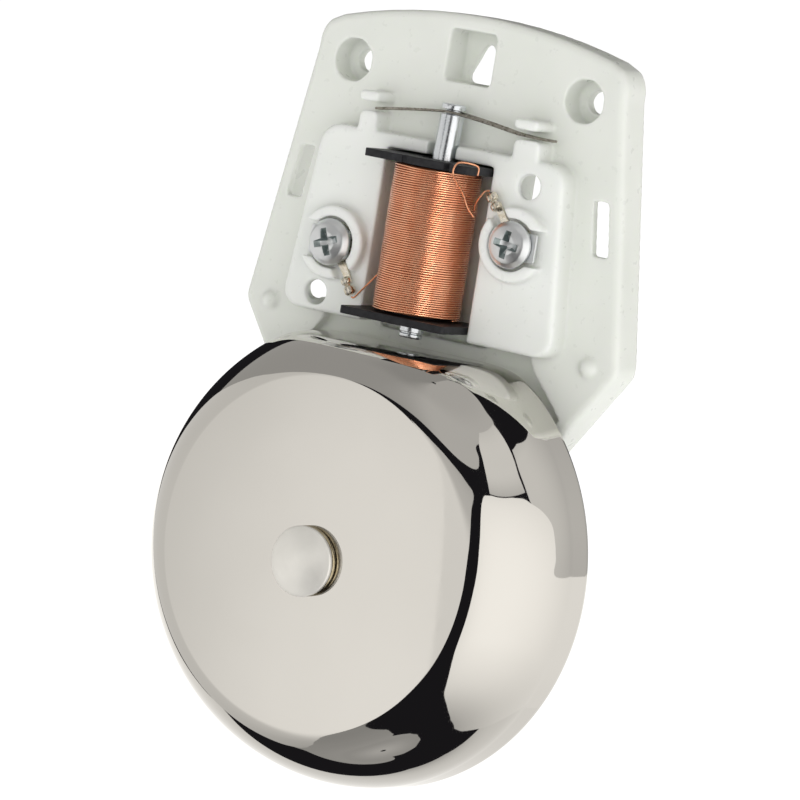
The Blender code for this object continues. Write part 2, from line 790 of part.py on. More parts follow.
def make_tag(name, x, z, low, angle):
    """A ring tongue under the screw, with a crimped barrel at its end."""
    tag = slab(name + "_ring", arc((0, 0), 3.5 * MM, 0, 350, 35), low, low + TAG_THICK)
    neck = block(name + "_neck", 2.6 * MM, 8.6 * MM, -1.0 * MM, 1.0 * MM, low, low + TAG_THICK)
    bpy.ops.mesh.primitive_cylinder_add(
        vertices=20, radius=0.95 * MM, depth=3.0 * MM, rotation=(0, math.pi / 2, 0)
    )
    barrel = bpy.context.object
    barrel.name = name + "_barrel"
    barrel.location = (7.8 * MM, y_of(low + 0.95 * MM), 0)
    join(tag, neck, barrel)
    cut(tag, peg(name + "_hole", 0, 0, SCREW_RADIUS + GAP, -FAR, FAR, steps=32))
    tag = baked(tag, name)
    tag.data.transform(tag.matrix_world)
    tag.matrix_world = Matrix.Identity(4)
    tag.rotation_euler = (0, -angle, 0)
    tag.location = (x, 0, z)
    return finish(tag, TINNED)


def make_clamp(name, side, x, z, low):
    reach = 4.3 * MM
    x0, x1 = sorted((-side * 3.2 * MM, side * reach))
    outline = box_outline(x + x0, x + x1, z - 2.35 * MM, z + 2.35 * MM, 0.4 * MM)
    clamp = slab(name + "_blank", outline, low, low + CLAMP_THICK, 0.12 * MM, edge_steps=1)
    cut(clamp, peg(name + "_hole", x, z, SCREW_RADIUS + GAP / 2, -FAR, FAR, steps=32))
    return finish(baked(clamp, name), ZINC)


def make_nut(name, x, z):
    high = NUT_PANEL_OUT - GAP
    half = NUT_SIDE / 2
    outline = box_outline(x - half, x + half, z - half, z + half, 0.3 * MM)
    nut = slab(name + "_blank", outline, high - NUT_THICK, high)
    cut(nut, peg(name + "_hole", x, z, SCREW_RADIUS + 0.1 * MM, -FAR, FAR, steps=32))
    return finish(baked(nut, name), ZINC)


def make_terminals():
    for side, name in ((-1, "left"), (1, "right")):
        x = side * TERMINAL_X
        z = TERMINAL_Z[name]
        tag_low = BED_OUT + GAP
        clamp_low = tag_low + TAG_THICK + GAP
        head_low = clamp_low + CLAMP_THICK + GAP
        make_tag("terminal_tag_" + name, x, z, tag_low, TAG_ANGLE[name])
        make_clamp("clamp_plate_" + name, side, x, z, clamp_low)
        make_screw("terminal_screw_" + name, x, z, head_low, math.radians(20 if side < 0 else -8))
        make_nut("terminal_nut_" + name, x, z)


# ---------------------------------------------------------------- the gong


def gong_outer_profile(count):
    """(radius, out) from the hole over the face and shoulder to the rim."""
    points = []
    face_steps = 5
    for i in range(face_steps):
        r = GONG_BORE + (GONG_FACE_RADIUS - GONG_BORE) * i / face_steps
        points.append((r, GONG_FRONT_OUT - GONG_CROWN * (r / GONG_FACE_RADIUS) ** 2))
    face_out = GONG_FRONT_OUT - GONG_CROWN
    for i in range(count + 1):
        angle = math.pi / 2 * i / count
        reach = math.sin(angle) ** GONG_SHOULDER_POWER
        drop = math.cos(angle) ** GONG_SHOULDER_POWER
        r = GONG_FACE_RADIUS + (GONG_RADIUS - 0.3 * MM - GONG_FACE_RADIUS) * reach
        points.append((r, GONG_SHOULDER_OUT + (face_out - GONG_SHOULDER_OUT) * drop))
    points.append((GONG_RADIUS, GONG_RIM_OUT))
    return points


def inner_offset(points, wall):
    """The profile moved inwards by the wall, along its normals."""
    moved = []
    for i, point in enumerate(points):
        before = Vector(points[max(i - 1, 0)])
        after = Vector(points[min(i + 1, len(points) - 1)])
        along = (after - before).normalized()
        normal = Vector((along.y, -along.x))
        moved.append(tuple(Vector(point) + normal * wall))
    moved[0] = (points[0][0], points[0][1] - wall)
    moved[-1] = (points[-1][0] - wall, points[-1][1])
    return moved


def shoulder_out(r):
    """How far out the outer surface stands at this radius, from the face's edge to the side."""
    side = GONG_RADIUS - 0.3 * MM
    if r >= side:
        return 0.0
    reach = max((r - GONG_FACE_RADIUS) / (side - GONG_FACE_RADIUS), 0.0)
    rise = reach ** (1 / GONG_SHOULDER_POWER)
    drop = math.sqrt(1 - rise * rise) ** GONG_SHOULDER_POWER
    return GONG_SHOULDER_OUT + (GONG_FRONT_OUT - GONG_CROWN - GONG_SHOULDER_OUT) * drop


def flatten_top(obj):
    """Presses the side wall flat where the striker hits it, with a soft corner."""
    for vertex in obj.data.vertices:
        x, z, out = vertex.co
        r = math.hypot(x, z)
        inside = out < shoulder_out(r) - GONG_WALL / 2
        limit = GONG_FLAT - GONG_WALL if inside else GONG_FLAT
        if z - limit > -6 * GONG_FLAT_ROUND:
            vertex.co.y = limit - soft_plus(limit - z, GONG_FLAT_ROUND)


def soft_plus(value, width):
    """value where it is large and positive, 0 where it is negative, with a smooth bend."""
    return width * math.log1p(math.exp(value / width)) if value < 30 * width else value


def make_gong():
    outer = gong_outer_profile(9)
    profile = outer + list(reversed(inner_offset(outer, GONG_WALL)))
    gong = as_mesh(turned("gong_spun", profile, closed=True, steps=72), "gong")
    flatten_top(gong)
    shift = GONG_AXIS_Z - GONG_Z
    for vertex in gong.data.vertices:
        r = math.hypot(vertex.co.x, vertex.co.y)
        share = min(max(1 - (r - 6 * MM) / (14 * MM), 0), 1)
        vertex.co.y += shift * share
    facing_out(gong, 0, 0, GONG_Z)
    return finish(gong, NICKEL, 50)


def make_gong_fixings():
    z = GONG_AXIS_Z
    finish(
        as_mesh(
            ring("gong_washer_turned", GONG_BORE, 6.0 * MM, PILLAR_OUT + GAP, GONG_FRONT_OUT - GONG_WALL - GAP - 0.1 * MM, 0, z),
            "gong_washer",
        ),
        BLACK,
    )
    low = GONG_FRONT_OUT + GAP
    finish(
        as_mesh(ring("cap_washer_turned", GONG_BORE, CAP_RADIUS, low, low + WASHER_THICK, 0, z), "cap_washer"),
        NICKEL,
    )
    seat = low + WASHER_THICK + GAP
    profile = [(0, CAP_RIM + CAP_DOME)]
    for i in range(1, 7):
        r = (CAP_RADIUS - 0.2 * MM) * i / 6
        profile.append((r, CAP_RIM + CAP_DOME * (1 - (r / CAP_RADIUS) ** 2)))
    profile += [
        (CAP_RADIUS, CAP_RIM - 0.1 * MM),
        (CAP_RADIUS, 0.1 * MM),
        (CAP_RADIUS - 0.15 * MM, 0),
        (CAP_SHANK_RADIUS, 0),
        (CAP_SHANK_RADIUS, -CAP_SHANK_LENGTH + 0.6 * MM),
        (CAP_SHANK_RADIUS - 0.6 * MM, -CAP_SHANK_LENGTH),
        (0, -CAP_SHANK_LENGTH),
    ]
    cap = as_mesh(turned("cap_turned", profile, steps=48), "gong_cap_screw")
    finish(facing_out(cap, 0, seat, z), NICKEL)
    insert_low = PILLAR_OUT - INSERT_LENGTH - GAP
    bore = CAP_SHANK_RADIUS + 0.1 * MM
    finish(
        as_mesh(ring("insert_turned", bore, INSERT_RADIUS, insert_low, PILLAR_OUT - GAP, 0, z), "gong_insert"),
        BRASS,
    )


clear_scene()
parts = new_collection(COLLECTION)
cutters = new_collection(COLLECTION + "_cutters", hidden=True)
make_plate()
make_bobbin()
make_winding()
make_coil_wires()
make_striker()
make_suspension_spring()
make_terminals()
make_gong()
make_gong_fixings()
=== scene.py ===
"""Looks for the bell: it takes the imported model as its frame, and builds the finished surfaces,
the coil's turns of wire, the screws, the crimped tags and the mirror-bright gong round it."""

import math

import bmesh
import bpy
from mathutils import Matrix, Vector, noise


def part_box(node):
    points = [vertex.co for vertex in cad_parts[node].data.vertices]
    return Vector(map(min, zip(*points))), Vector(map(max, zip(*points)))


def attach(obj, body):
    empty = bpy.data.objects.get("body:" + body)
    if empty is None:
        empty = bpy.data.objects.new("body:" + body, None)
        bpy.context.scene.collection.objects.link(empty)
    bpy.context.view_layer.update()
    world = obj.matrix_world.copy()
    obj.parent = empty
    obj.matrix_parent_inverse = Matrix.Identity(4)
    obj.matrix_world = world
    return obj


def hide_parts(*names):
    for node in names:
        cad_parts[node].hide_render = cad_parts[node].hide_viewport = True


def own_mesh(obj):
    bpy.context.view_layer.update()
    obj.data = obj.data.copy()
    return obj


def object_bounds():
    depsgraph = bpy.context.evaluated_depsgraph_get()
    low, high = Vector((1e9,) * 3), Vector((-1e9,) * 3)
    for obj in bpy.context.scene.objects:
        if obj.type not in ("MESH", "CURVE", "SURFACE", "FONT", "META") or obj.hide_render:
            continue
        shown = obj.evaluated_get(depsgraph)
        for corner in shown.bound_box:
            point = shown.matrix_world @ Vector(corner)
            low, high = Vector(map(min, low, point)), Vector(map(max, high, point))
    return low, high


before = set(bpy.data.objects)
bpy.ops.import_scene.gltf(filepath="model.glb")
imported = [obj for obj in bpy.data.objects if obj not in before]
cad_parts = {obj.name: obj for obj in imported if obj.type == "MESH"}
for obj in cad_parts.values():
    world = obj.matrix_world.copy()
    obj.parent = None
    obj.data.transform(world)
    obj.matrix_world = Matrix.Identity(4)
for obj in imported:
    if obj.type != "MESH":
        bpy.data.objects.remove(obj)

CAD_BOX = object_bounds()
MM = 0.001
FACE_Y = -6.5 * MM  # the plate's front skin


def spot(x, out, z):
    """A point in millimetres: across, out from the plate's front skin, and up."""
    return Vector((x * MM, FACE_Y - out * MM, z * MM))


def box_of(node):
    low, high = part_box(node)
    return Vector(low), Vector(high), (Vector(low) + Vector(high)) / 2


# ---------------------------------------------------------------- materials

NOISE_LOW, NOISE_HIGH = 0.3, 0.7  # a noise texture seldom goes past these


class Look:
    """A Principled material with helpers for its procedural detail."""

    def __init__(self, name, colour, roughness, metallic=0.0, **sockets):
        self.material = bpy.data.materials.new(name)
        self.material.use_nodes = True
        self.nodes = self.material.node_tree.nodes
        self.links = self.material.node_tree.links
        self.shader = self.nodes["Principled BSDF"]
        self.shader.inputs["Base Color"].default_value = (*colour, 1)
        self.shader.inputs["Roughness"].default_value = roughness
        self.shader.inputs["Metallic"].default_value = metallic
        for socket, value in sockets.items():
            self.shader.inputs[socket.replace("_", " ")].default_value = value
        self.place = None

    def coordinates(self, scale=(1, 1, 1)):
        if self.place is None:
            self.place = self.nodes.new("ShaderNodeTexCoord").outputs["Object"]
        mapping = self.nodes.new("ShaderNodeMapping")
        mapping.inputs["Scale"].default_value = scale
        self.links.new(self.place, mapping.inputs["Vector"])
        return mapping.outputs["Vector"]

    def noise(self, size_mm, detail=3.0, roughness=0.5, stretch=(1, 1, 1)):
        """A noise whose blotches are about size_mm across."""
        texture = self.nodes.new("ShaderNodeTexNoise")
        texture.inputs["Scale"].default_value = 1 / (size_mm * MM)
        texture.inputs["Detail"].default_value = detail
        texture.inputs["Roughness"].default_value = roughness
        self.links.new(self.coordinates(stretch), texture.inputs["Vector"])
        return texture.outputs["Fac"]

    def colour(self, source, stops):
        """Runs the base colour through (position, colour) stops."""
        ramp = self.nodes.new("ShaderNodeValToRGB")
        self.links.new(source, ramp.inputs["Fac"])
        elements = ramp.color_ramp.elements
        while len(elements) < len(stops):
            elements.new(0.5)
        for element, (at, shade) in zip(elements, stops):
            element.position = at
            element.color = (*shade, 1)
        self.links.new(ramp.outputs["Color"], self.shader.inputs["Base Color"])

    def paint_low_shade(self, tint, low_y, high_y):
        """Paints shade: multiplies the colour by the tint where the moulding lies at low_y or
        behind it, and fades to none of the tint where it stands proud, at high_y."""
        split = self.nodes.new("ShaderNodeSeparateXYZ")
        self.links.new(self.place, split.inputs["Vector"])
        rise = self.nodes.new("ShaderNodeMapRange")
        rise.interpolation_type = "SMOOTHSTEP"
        rise.inputs["From Min"].default_value = low_y
        rise.inputs["From Max"].default_value = high_y
        self.links.new(split.outputs["Y"], rise.inputs["Value"])
        mix = self.nodes.new("ShaderNodeMix")
        mix.data_type = "RGBA"
        mix.blend_type = "MULTIPLY"
        lower = self.nodes.new("ShaderNodeMath")
        lower.operation = "SUBTRACT"
        lower.inputs[0].default_value = 1.0
        self.links.new(rise.outputs["Result"], lower.inputs[1])
        self.links.new(lower.outputs[0], mix.inputs[0])
        base = self.shader.inputs["Base Color"]
        self.links.new(base.links[0].from_socket, mix.inputs[6])
        mix.inputs[7].default_value = (*tint, 1)
        self.links.new(mix.outputs[2], base)

    def roughness(self, source, low, high):
        """Spreads the roughness from low to high over the noise's usual range."""
        spread = self.nodes.new("ShaderNodeMapRange")
        spread.inputs["From Min"].default_value = NOISE_LOW
        spread.inputs["From Max"].default_value = NOISE_HIGH
        spread.inputs["To Min"].default_value = low
        spread.inputs["To Max"].default_value = high
        self.links.new(source, spread.inputs["Value"])
        self.links.new(spread.outputs["Result"], self.shader.inputs["Roughness"])

    def bump(self, source, height_mm):
        """Adds a relief of this height to those already there."""
        bump = self.nodes.new("ShaderNodeBump")
        bump.inputs["Strength"].default_value = 1.0
        bump.inputs["Distance"].default_value = height_mm * MM
        self.links.new(source, bump.inputs["Height"])
        previous = self.shader.inputs["Normal"]
        if previous.is_linked:
            self.links.new(previous.links[0].from_socket, bump.inputs["Normal"])
        self.links.new(bump.outputs["Normal"], previous)


def make_looks():
    """Every material, by the short name that add_piece knows it by."""
    plastic = Look("plate_plastic", (0.74, 0.76, 0.73), 0.3, Subsurface_Weight=0.35)
    plastic.shader.inputs["Subsurface Radius"].default_value = (1.0, 1.1, 0.9)
    plastic.shader.inputs["Subsurface Scale"].default_value = 1.6 * MM
    plastic.colour(plastic.noise(9, 2), [(0.3, (0.77, 0.79, 0.76)), (0.7, (0.80, 0.815, 0.79))])
    # Painted shade: the low parts of the moulding are a little darker than the raised ones.
    plastic.paint_low_shade((0.94, 0.94, 0.92), -7.2 * MM, -10.6 * MM)
    plastic.roughness(plastic.noise(1.6, 4), 0.26, 0.36)
    plastic.bump(plastic.noise(2.5, 2), 0.006)
    plastic.bump(plastic.noise(0.18, 2), 0.0012)

    black = Look("bobbin_plastic", (0.018, 0.018, 0.02), 0.5, Specular_IOR_Level=0.22)
    black.colour(black.noise(1.2, 4), [(0.3, (0.013, 0.013, 0.015)), (0.7, (0.026, 0.026, 0.029))])
    black.roughness(black.noise(0.5, 4), 0.44, 0.6)
    black.bump(black.noise(0.12, 3), 0.004)

    copper = Look("copper", (0.98, 0.46, 0.26), 0.24, 0.8, Coat_Weight=0.4, Coat_Roughness=0.1)
    copper.colour(
        copper.noise(2.2, 3, 0.5, (1, 1, 0.6)),
        [(0.25, (0.94, 0.39, 0.2)), (0.5, (0.98, 0.46, 0.26)), (0.75, (1.0, 0.54, 0.33))],
    )
    copper.roughness(copper.noise(0.9, 3), 0.2, 0.28)

    # The layer under the turns is copper painted darker: painted shade in the gaps between turns.
    copper_in_shade = Look("copper_painted_shade", (0.5, 0.15, 0.065), 0.5, 0.6)
    copper_in_shade.colour(copper_in_shade.noise(1.0, 3), [(0.3, (0.42, 0.12, 0.05)), (0.7, (0.58, 0.19, 0.085))])
    copper_in_shade.roughness(copper_in_shade.noise(0.4, 3), 0.4, 0.6)

    zinc = Look("zinc_plate", (0.86, 0.885, 0.9), 0.3, 1.0)
    zinc.colour(zinc.noise(1.1, 5, 0.6), [(0.3, (0.82, 0.845, 0.86)), (0.7, (0.90, 0.915, 0.925))])
    zinc.roughness(zinc.noise(0.5, 5, 0.65), 0.34, 0.44)
    zinc.bump(zinc.noise(0.35, 4), 0.0006)

    # A darker, bluish zinc for the screws' cross recesses: painted shade, the same metal as the
    # heads.
    recess = Look("zinc_recess_painted_shade", (0.4, 0.46, 0.46), 0.4, 1.0)
    recess.colour(recess.noise(0.7, 4), [(0.3, (0.32, 0.38, 0.38)), (0.7, (0.5, 0.56, 0.56))])
    recess.roughness(recess.noise(0.4, 4), 0.32, 0.5)

    rod = Look("turned_rod", (0.76, 0.79, 0.82), 0.2, 1.0)
    rod.colour(
        rod.noise(1.5, 4, 0.5, (1, 1, 0.15)),
        [(0.3, (0.66, 0.70, 0.74)), (0.7, (0.85, 0.87, 0.9))],
    )
    rod.roughness(rod.noise(0.4, 4, 0.6, (1, 1, 4)), 0.14, 0.3)
    rod.bump(rod.noise(0.25, 3, 0.5, (0.2, 0.2, 3)), 0.0015)

    spring = Look("spring_wire", (0.36, 0.335, 0.29), 0.3, 1.0)
    spring.colour(spring.noise(0.8, 3), [(0.3, (0.26, 0.24, 0.2)), (0.7, (0.46, 0.43, 0.38))])
    spring.roughness(spring.noise(0.4, 3), 0.22, 0.42)

    tinned = Look("tinned_tag", (0.78, 0.72, 0.6), 0.25, 1.0)
    tinned.colour(
        tinned.noise(0.9, 4, 0.6),
        [(0.3, (0.66, 0.57, 0.41)), (0.55, (0.80, 0.75, 0.65)), (0.75, (0.88, 0.86, 0.81))],
    )
    tinned.roughness(tinned.noise(0.4, 4), 0.18, 0.36)
    tinned.bump(tinned.noise(0.5, 3), 0.006)

    nickel = Look("nickel_mirror", (0.655, 0.635, 0.60), 0.03, 1.0)
    nickel.colour(nickel.noise(20, 2), [(0.3, (0.645, 0.625, 0.59)), (0.7, (0.665, 0.645, 0.61))])
    nickel.roughness(nickel.noise(3, 3), 0.018, 0.045)
    nickel.bump(nickel.noise(1.1, 2), 0.0004)
    nickel.bump(nickel.noise(7, 1), 0.0012)

    cap = Look("nickel_cap", (0.84, 0.82, 0.77), 0.42, 0.55)
    cap.colour(cap.noise(2.5, 3), [(0.3, (0.82, 0.80, 0.75)), (0.7, (0.86, 0.84, 0.79))])
    cap.roughness(cap.noise(0.6, 4), 0.38, 0.48)
    cap.bump(cap.noise(0.5, 3), 0.0012)

    gold = Look("cap_seat", (0.62, 0.53, 0.36), 0.2, 1.0)
    gold.colour(gold.noise(0.8, 3), [(0.3, (0.52, 0.43, 0.27)), (0.7, (0.68, 0.6, 0.43))])
    gold.roughness(gold.noise(0.5, 3), 0.14, 0.3)

    brass = Look("turned_brass", (0.72, 0.52, 0.25), 0.3, 1.0)
    brass.colour(brass.noise(1, 4), [(0.3, (0.62, 0.43, 0.18)), (0.7, (0.78, 0.6, 0.31))])
    brass.roughness(brass.noise(0.3, 4), 0.22, 0.42)

    rubber = Look("gasket", (0.02, 0.02, 0.021), 0.6)
    rubber.colour(rubber.noise(0.8, 4), [(0.3, (0.014, 0.014, 0.015)), (0.7, (0.03, 0.03, 0.03))])
    rubber.roughness(rubber.noise(0.4, 4), 0.5, 0.7)

    return {
        "plastic": plastic.material,
        "black": black.material,
        "copper": copper.material,
        "copper_in_shade": copper_in_shade.material,
        "zinc": zinc.material,
        "recess": recess.material,
        "rod": rod.material,
        "spring": spring.material,
        "tinned": tinned.material,
        "nickel": nickel.material,
        "cap": cap.material,
        "gold": gold.material,
        "brass": brass.material,
        "rubber": rubber.material,
    }


# ---------------------------------------------------------------- mesh helpers

ALL_SMOOTH = 180
SAME_POINT = 1e-7  # points closer than this are one


def add_piece(name, mesh, material, body, node, smooth, matrix=None):
    """Puts a finished mesh in the scene, on its body, standing for the CAD node it covers.
    Edges sharper than smooth degrees stay crisp, and ALL_SMOOTH keeps none."""
    piece = bpy.data.objects.new(name, mesh)
    bpy.context.scene.collection.objects.link(piece)
    if matrix is not None:
        mesh.transform(matrix)
    mesh.materials.clear()
    mesh.materials.append(LOOKS[material])
    mesh.shade_smooth()
    if smooth < ALL_SMOOTH:
        mesh.set_sharp_from_angle(angle=math.radians(smooth))
    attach(piece, body)
    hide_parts(node)
    return piece


def mesh_from(name, verts, faces):
    mesh = bpy.data.meshes.new(name)
    mesh.from_pydata([tuple(v) for v in verts], [], faces)
    tidy_mesh(mesh)
    return mesh


def tidy_mesh(mesh, distance=SAME_POINT):
    """Merges doubled points and turns every face outwards."""
    edit = bmesh.new()
    edit.from_mesh(mesh)
    bmesh.ops.remove_doubles(edit, verts=edit.verts, dist=distance)
    bmesh.ops.recalc_face_normals(edit, faces=edit.faces)
    edit.to_mesh(mesh)
    edit.free()


def fillet(corners, steps):
    """An open profile from (radius, height, rounding) corners. A rounding takes up less than half
    of the stretch to the next corner."""
    points = []
    for i, (r, h, rounding) in enumerate(corners):
        here = Vector((r, h))
        if rounding <= 0 or i in (0, len(corners) - 1):
            points.append(here)
            continue
        before = Vector(corners[i - 1][:2]) - here
        after = Vector(corners[i + 1][:2]) - here
        half = before.angle(after) / 2
        longest = 0.49 * min(before.length, after.length)
        reach = min(rounding / math.tan(half), longest)
        first = here + before.normalized() * reach
        last = here + after.normalized() * reach
        for step in range(steps + 1):
            t = step / steps
            points.append((1 - t) ** 2 * first + 2 * t * (1 - t) * here + t * t * last)
    return points


def revolve(name, profile, segments, closed=False):
    """Turns a profile of (radius, height) points about Z. A closed one is a ring's section."""
    verts = []
    rings = []
    for r, h in profile:
        if r < SAME_POINT:
            rings.append([len(verts)])
            verts.append((0, 0, h))
            continue
        ring = []
        for i in range(segments):
            angle = math.tau * i / segments
            ring.append(len(verts))
            verts.append((r * math.cos(angle), r * math.sin(angle), h))
        rings.append(ring)
    faces = []
    pairs = list(zip(rings, rings[1:]))
    if closed:
        pairs.append((rings[-1], rings[0]))
    for upper, lower in pairs:
        for i in range(segments):
            j = (i + 1) % segments
            corners = [upper[i % len(upper)], upper[j % len(upper)]]
            corners += [lower[j % len(lower)], lower[i % len(lower)]]
            unique = list(dict.fromkeys(corners))
            if len(unique) > 2:
                faces.append(unique)
    return mesh_from(name, verts, faces)


def tube_mesh(name, path, radius, sides):
    """A round wire along a path of points, with blunt pointed ends."""
    count = len(path)
    tangents = []
    for i in range(count):
        before, after = path[max(i - 1, 0)], path[min(i + 1, count - 1)]
        tangents.append((after - before).normalized())
    normal = tangents[0].orthogonal().normalized()
    verts = []
    for here, tangent in zip(path, tangents):
        normal = (normal - tangent * normal.dot(tangent)).normalized()
        side = tangent.cross(normal)
        for k in range(sides):
            angle = math.tau * k / sides
            verts.append(here + radius * (normal * math.cos(angle) + side * math.sin(angle)))
    faces = []
    for i in range(count - 1):
        for k in range(sides):
            a = i * sides + k
            b = i * sides + (k + 1) % sides
            faces.append((a, b, b + sides, a + sides))
    for end, direction in ((0, -1), (count - 1, 1)):
        tip = len(verts)
        verts.append(path[end] + tangents[end] * direction * radius / 2)
        for k in range(sides):
            faces.append((end * sides + k, end * sides + (k + 1) % sides, tip))
    return mesh_from(name, verts, faces)


def smooth_path(points, per_span):
    """A Catmull-Rom curve through the points."""
    dense = []
    count = len(points)
    for i in range(count - 1):
        p0 = Vector(points[max(i - 1, 0)])
        p1 = Vector(points[i])
        p2 = Vector(points[i + 1])
        p3 = Vector(points[min(i + 2, count - 1)])
        for step in range(per_span):
            t = step / per_span
            a = 2 * p1 + (p2 - p0) * t
            b = (2 * p0 - 5 * p1 + 4 * p2 - p3) * t**2
            c = (3 * p1 - p0 - 3 * p2 + p3) * t**3
            dense.append(0.5 * (a + b + c))
    dense.append(Vector(points[-1]))
    return dense


def applied(obj):
    """The object's mesh with its modifiers applied; the object goes."""
    bpy.context.view_layer.update()
    graph = bpy.context.evaluated_depsgraph_get()
    mesh = bpy.data.meshes.new_from_object(obj.evaluated_get(graph))
    mesh.transform(obj.matrix_world)
    bpy.data.objects.remove(obj, do_unlink=True)
    return mesh


def loose(name, mesh):
    """A working object that isn't a piece."""
    obj = bpy.data.objects.new(name, mesh)
    bpy.context.scene.collection.objects.link(obj)
    return obj


def softened(node, voxel_mm, rounds):
    """A CAD node's shape with every edge rounded, as moulding or tumbling leaves it."""
    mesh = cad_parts[node].data.copy()
    tidy_mesh(mesh, 0.001 * MM)
    obj = loose(node + "_soft", mesh)
    remesh = obj.modifiers.new("remesh", "REMESH")
    remesh.mode = "VOXEL"
    remesh.voxel_size = voxel_mm * MM
    smooth = obj.modifiers.new("smooth", "SMOOTH")
    smooth.factor = 0.5
    smooth.iterations = rounds
    return applied(obj)


def toward_viewer(x, out, z):
    """Takes a mesh made in millimetres to its place: its Z points out of the plate, and its
    origin goes to (x, out, z)."""
    turned = Matrix.Rotation(math.pi / 2, 4, "X") @ Matrix.Scale(MM, 4)
    return Matrix.Translation(spot(x, out, z)) @ turned


def punched(obj, cutter):
    """Adds a cut of one working object by another."""
    cut = obj.modifiers.new("cut", "BOOLEAN")
    cut.operation = "DIFFERENCE"
    cut.solver = "EXACT"
    cut.object = cutter


# ---------------------------------------------------------------- the plate


def make_plate():
    mesh = softened("base_plate", 0.25, 9)
    add_piece("plate_moulding", mesh, "plastic", "base", "base_plate", ALL_SMOOTH)


# ---------------------------------------------------------------- the gong

GONG_WALL = 0.9
GONG_BORE = 2.7
GONG_FLAT_DEPTH = 4.9  # how far the flat stands in from the round rim
GONG_FACE_RADIUS = 28.0
GONG_CROWN = 0.8  # the face falls away by this much, from its middle to its edge
GONG_FLARE = 0.3  # the side widens by this much, from the shoulder to the rim
SHOULDER_FOOT = 7.0  # how far out from the plate the shoulder starts
SHOULDER_POWER = 1.18  # 1 would make the shoulder an ellipse
FACE_STEPS, SHOULDER_STEPS, SIDE_STEPS = 24, 48, 8


def fade(value, start, end):
    """0 before start, 1 after end, smooth between."""
    share = min(max((value - start) / (end - start), 0.0), 1.0)
    return share * share * (3 - 2 * share)


def soft_plus(value, width):
    """The value where it is positive, and 0 where it is negative, with a soft bend between."""
    return width * math.log1p(math.exp(value / width)) if value < 30 * width else value


def gong_profile(radius, front, rim):
    """(radius, out) millimetres from the bore over the face and the shoulder to the rim."""
    side = radius - GONG_FLARE
    edge = front - GONG_CROWN
    points = []
    for i in range(FACE_STEPS):
        r = GONG_BORE + (GONG_FACE_RADIUS - GONG_BORE) * i / FACE_STEPS
        points.append(Vector((r, front - GONG_CROWN * (r / GONG_FACE_RADIUS) ** 2)))
    for i in range(SHOULDER_STEPS + 1):
        angle = math.pi / 2 * i / SHOULDER_STEPS
        r = GONG_FACE_RADIUS + (side - GONG_FACE_RADIUS) * math.sin(angle) ** SHOULDER_POWER
        out = SHOULDER_FOOT + (edge - SHOULDER_FOOT) * math.cos(angle) ** SHOULDER_POWER
        points.append(Vector((r, out)))
    lip_round = 0.25
    for i in range(1, SIDE_STEPS + 1):
        t = i / SIDE_STEPS
        out = SHOULDER_FOOT + (rim + lip_round - SHOULDER_FOOT) * t
        points.append(Vector((side + GONG_FLARE * t, out)))
    return points


def shoulder_out(r, radius, front):
    """How far out the gong's outer surface stands at this radius."""
    side = radius - GONG_FLARE
    if r >= side:
        return 0.0
    across = max((r - GONG_FACE_RADIUS) / (side - GONG_FACE_RADIUS), 0.0) ** (1 / SHOULDER_POWER)
    rise = math.sqrt(1 - across * across) ** SHOULDER_POWER
    return SHOULDER_FOOT + (front - GONG_CROWN - SHOULDER_FOOT) * rise


def make_gong():
    """A turned shell of sheet metal, pressed flat on its upper side. Its middle is moved a little,
    so that the bore lies on the cap screw's axis."""
    low, high, _ = box_of("gong")
    radius = (high.x - low.x) / 2 / MM
    centre_z = low.z / MM + radius
    front = (FACE_Y - low.y) / MM + 0.006
    rim = (FACE_Y - high.y) / MM
    outer = gong_profile(radius, front, rim)
    inner = []
    for i, point in enumerate(outer):
        along = outer[min(i + 1, len(outer) - 1)] - outer[max(i - 1, 0)]
        along.normalize()
        inner.append(point + Vector((along.y, -along.x)) * GONG_WALL)
    inner[0] = outer[0] - Vector((0, GONG_WALL))
    bevel = 0.12
    lip = [Vector((radius - bevel, rim)), Vector((radius - GONG_WALL + bevel, rim))]
    profile = outer + lip + list(reversed(inner))
    mesh = revolve("gong_shell", profile, 288, closed=True)
    _, _, cap_middle = box_of("gong_cap_screw")
    shift = cap_middle.z / MM - centre_z
    shifted_whole, shifted_none = 6, 20
    flat = radius - GONG_FLAT_DEPTH
    flat_reach = 6
    for vertex in mesh.vertices:
        x, z, out = vertex.co
        r = math.hypot(x, z)
        inside = out < shoulder_out(r, radius, front) - GONG_WALL / 2
        limit = flat - GONG_WALL if inside else flat
        if z - limit > -flat_reach:
            vertex.co.y = limit - soft_plus(limit - z, 1.0)
        share = 1 - (r - shifted_whole) / (shifted_none - shifted_whole)
        vertex.co.y += shift * min(max(share, 0), 1)
    matrix = toward_viewer(0, 0, centre_z)
    add_piece("gong_shell", mesh, "nickel", "base", "gong", 40, matrix)


CAP_HEIGHT = 2.4
CAP_DOME = 1.35
CAP_RIM = 0.7
CAP_SHANK, CAP_ROOT = 2.4, 2.0
CAP_PITCH = 0.8
CAP_STEPS = 12


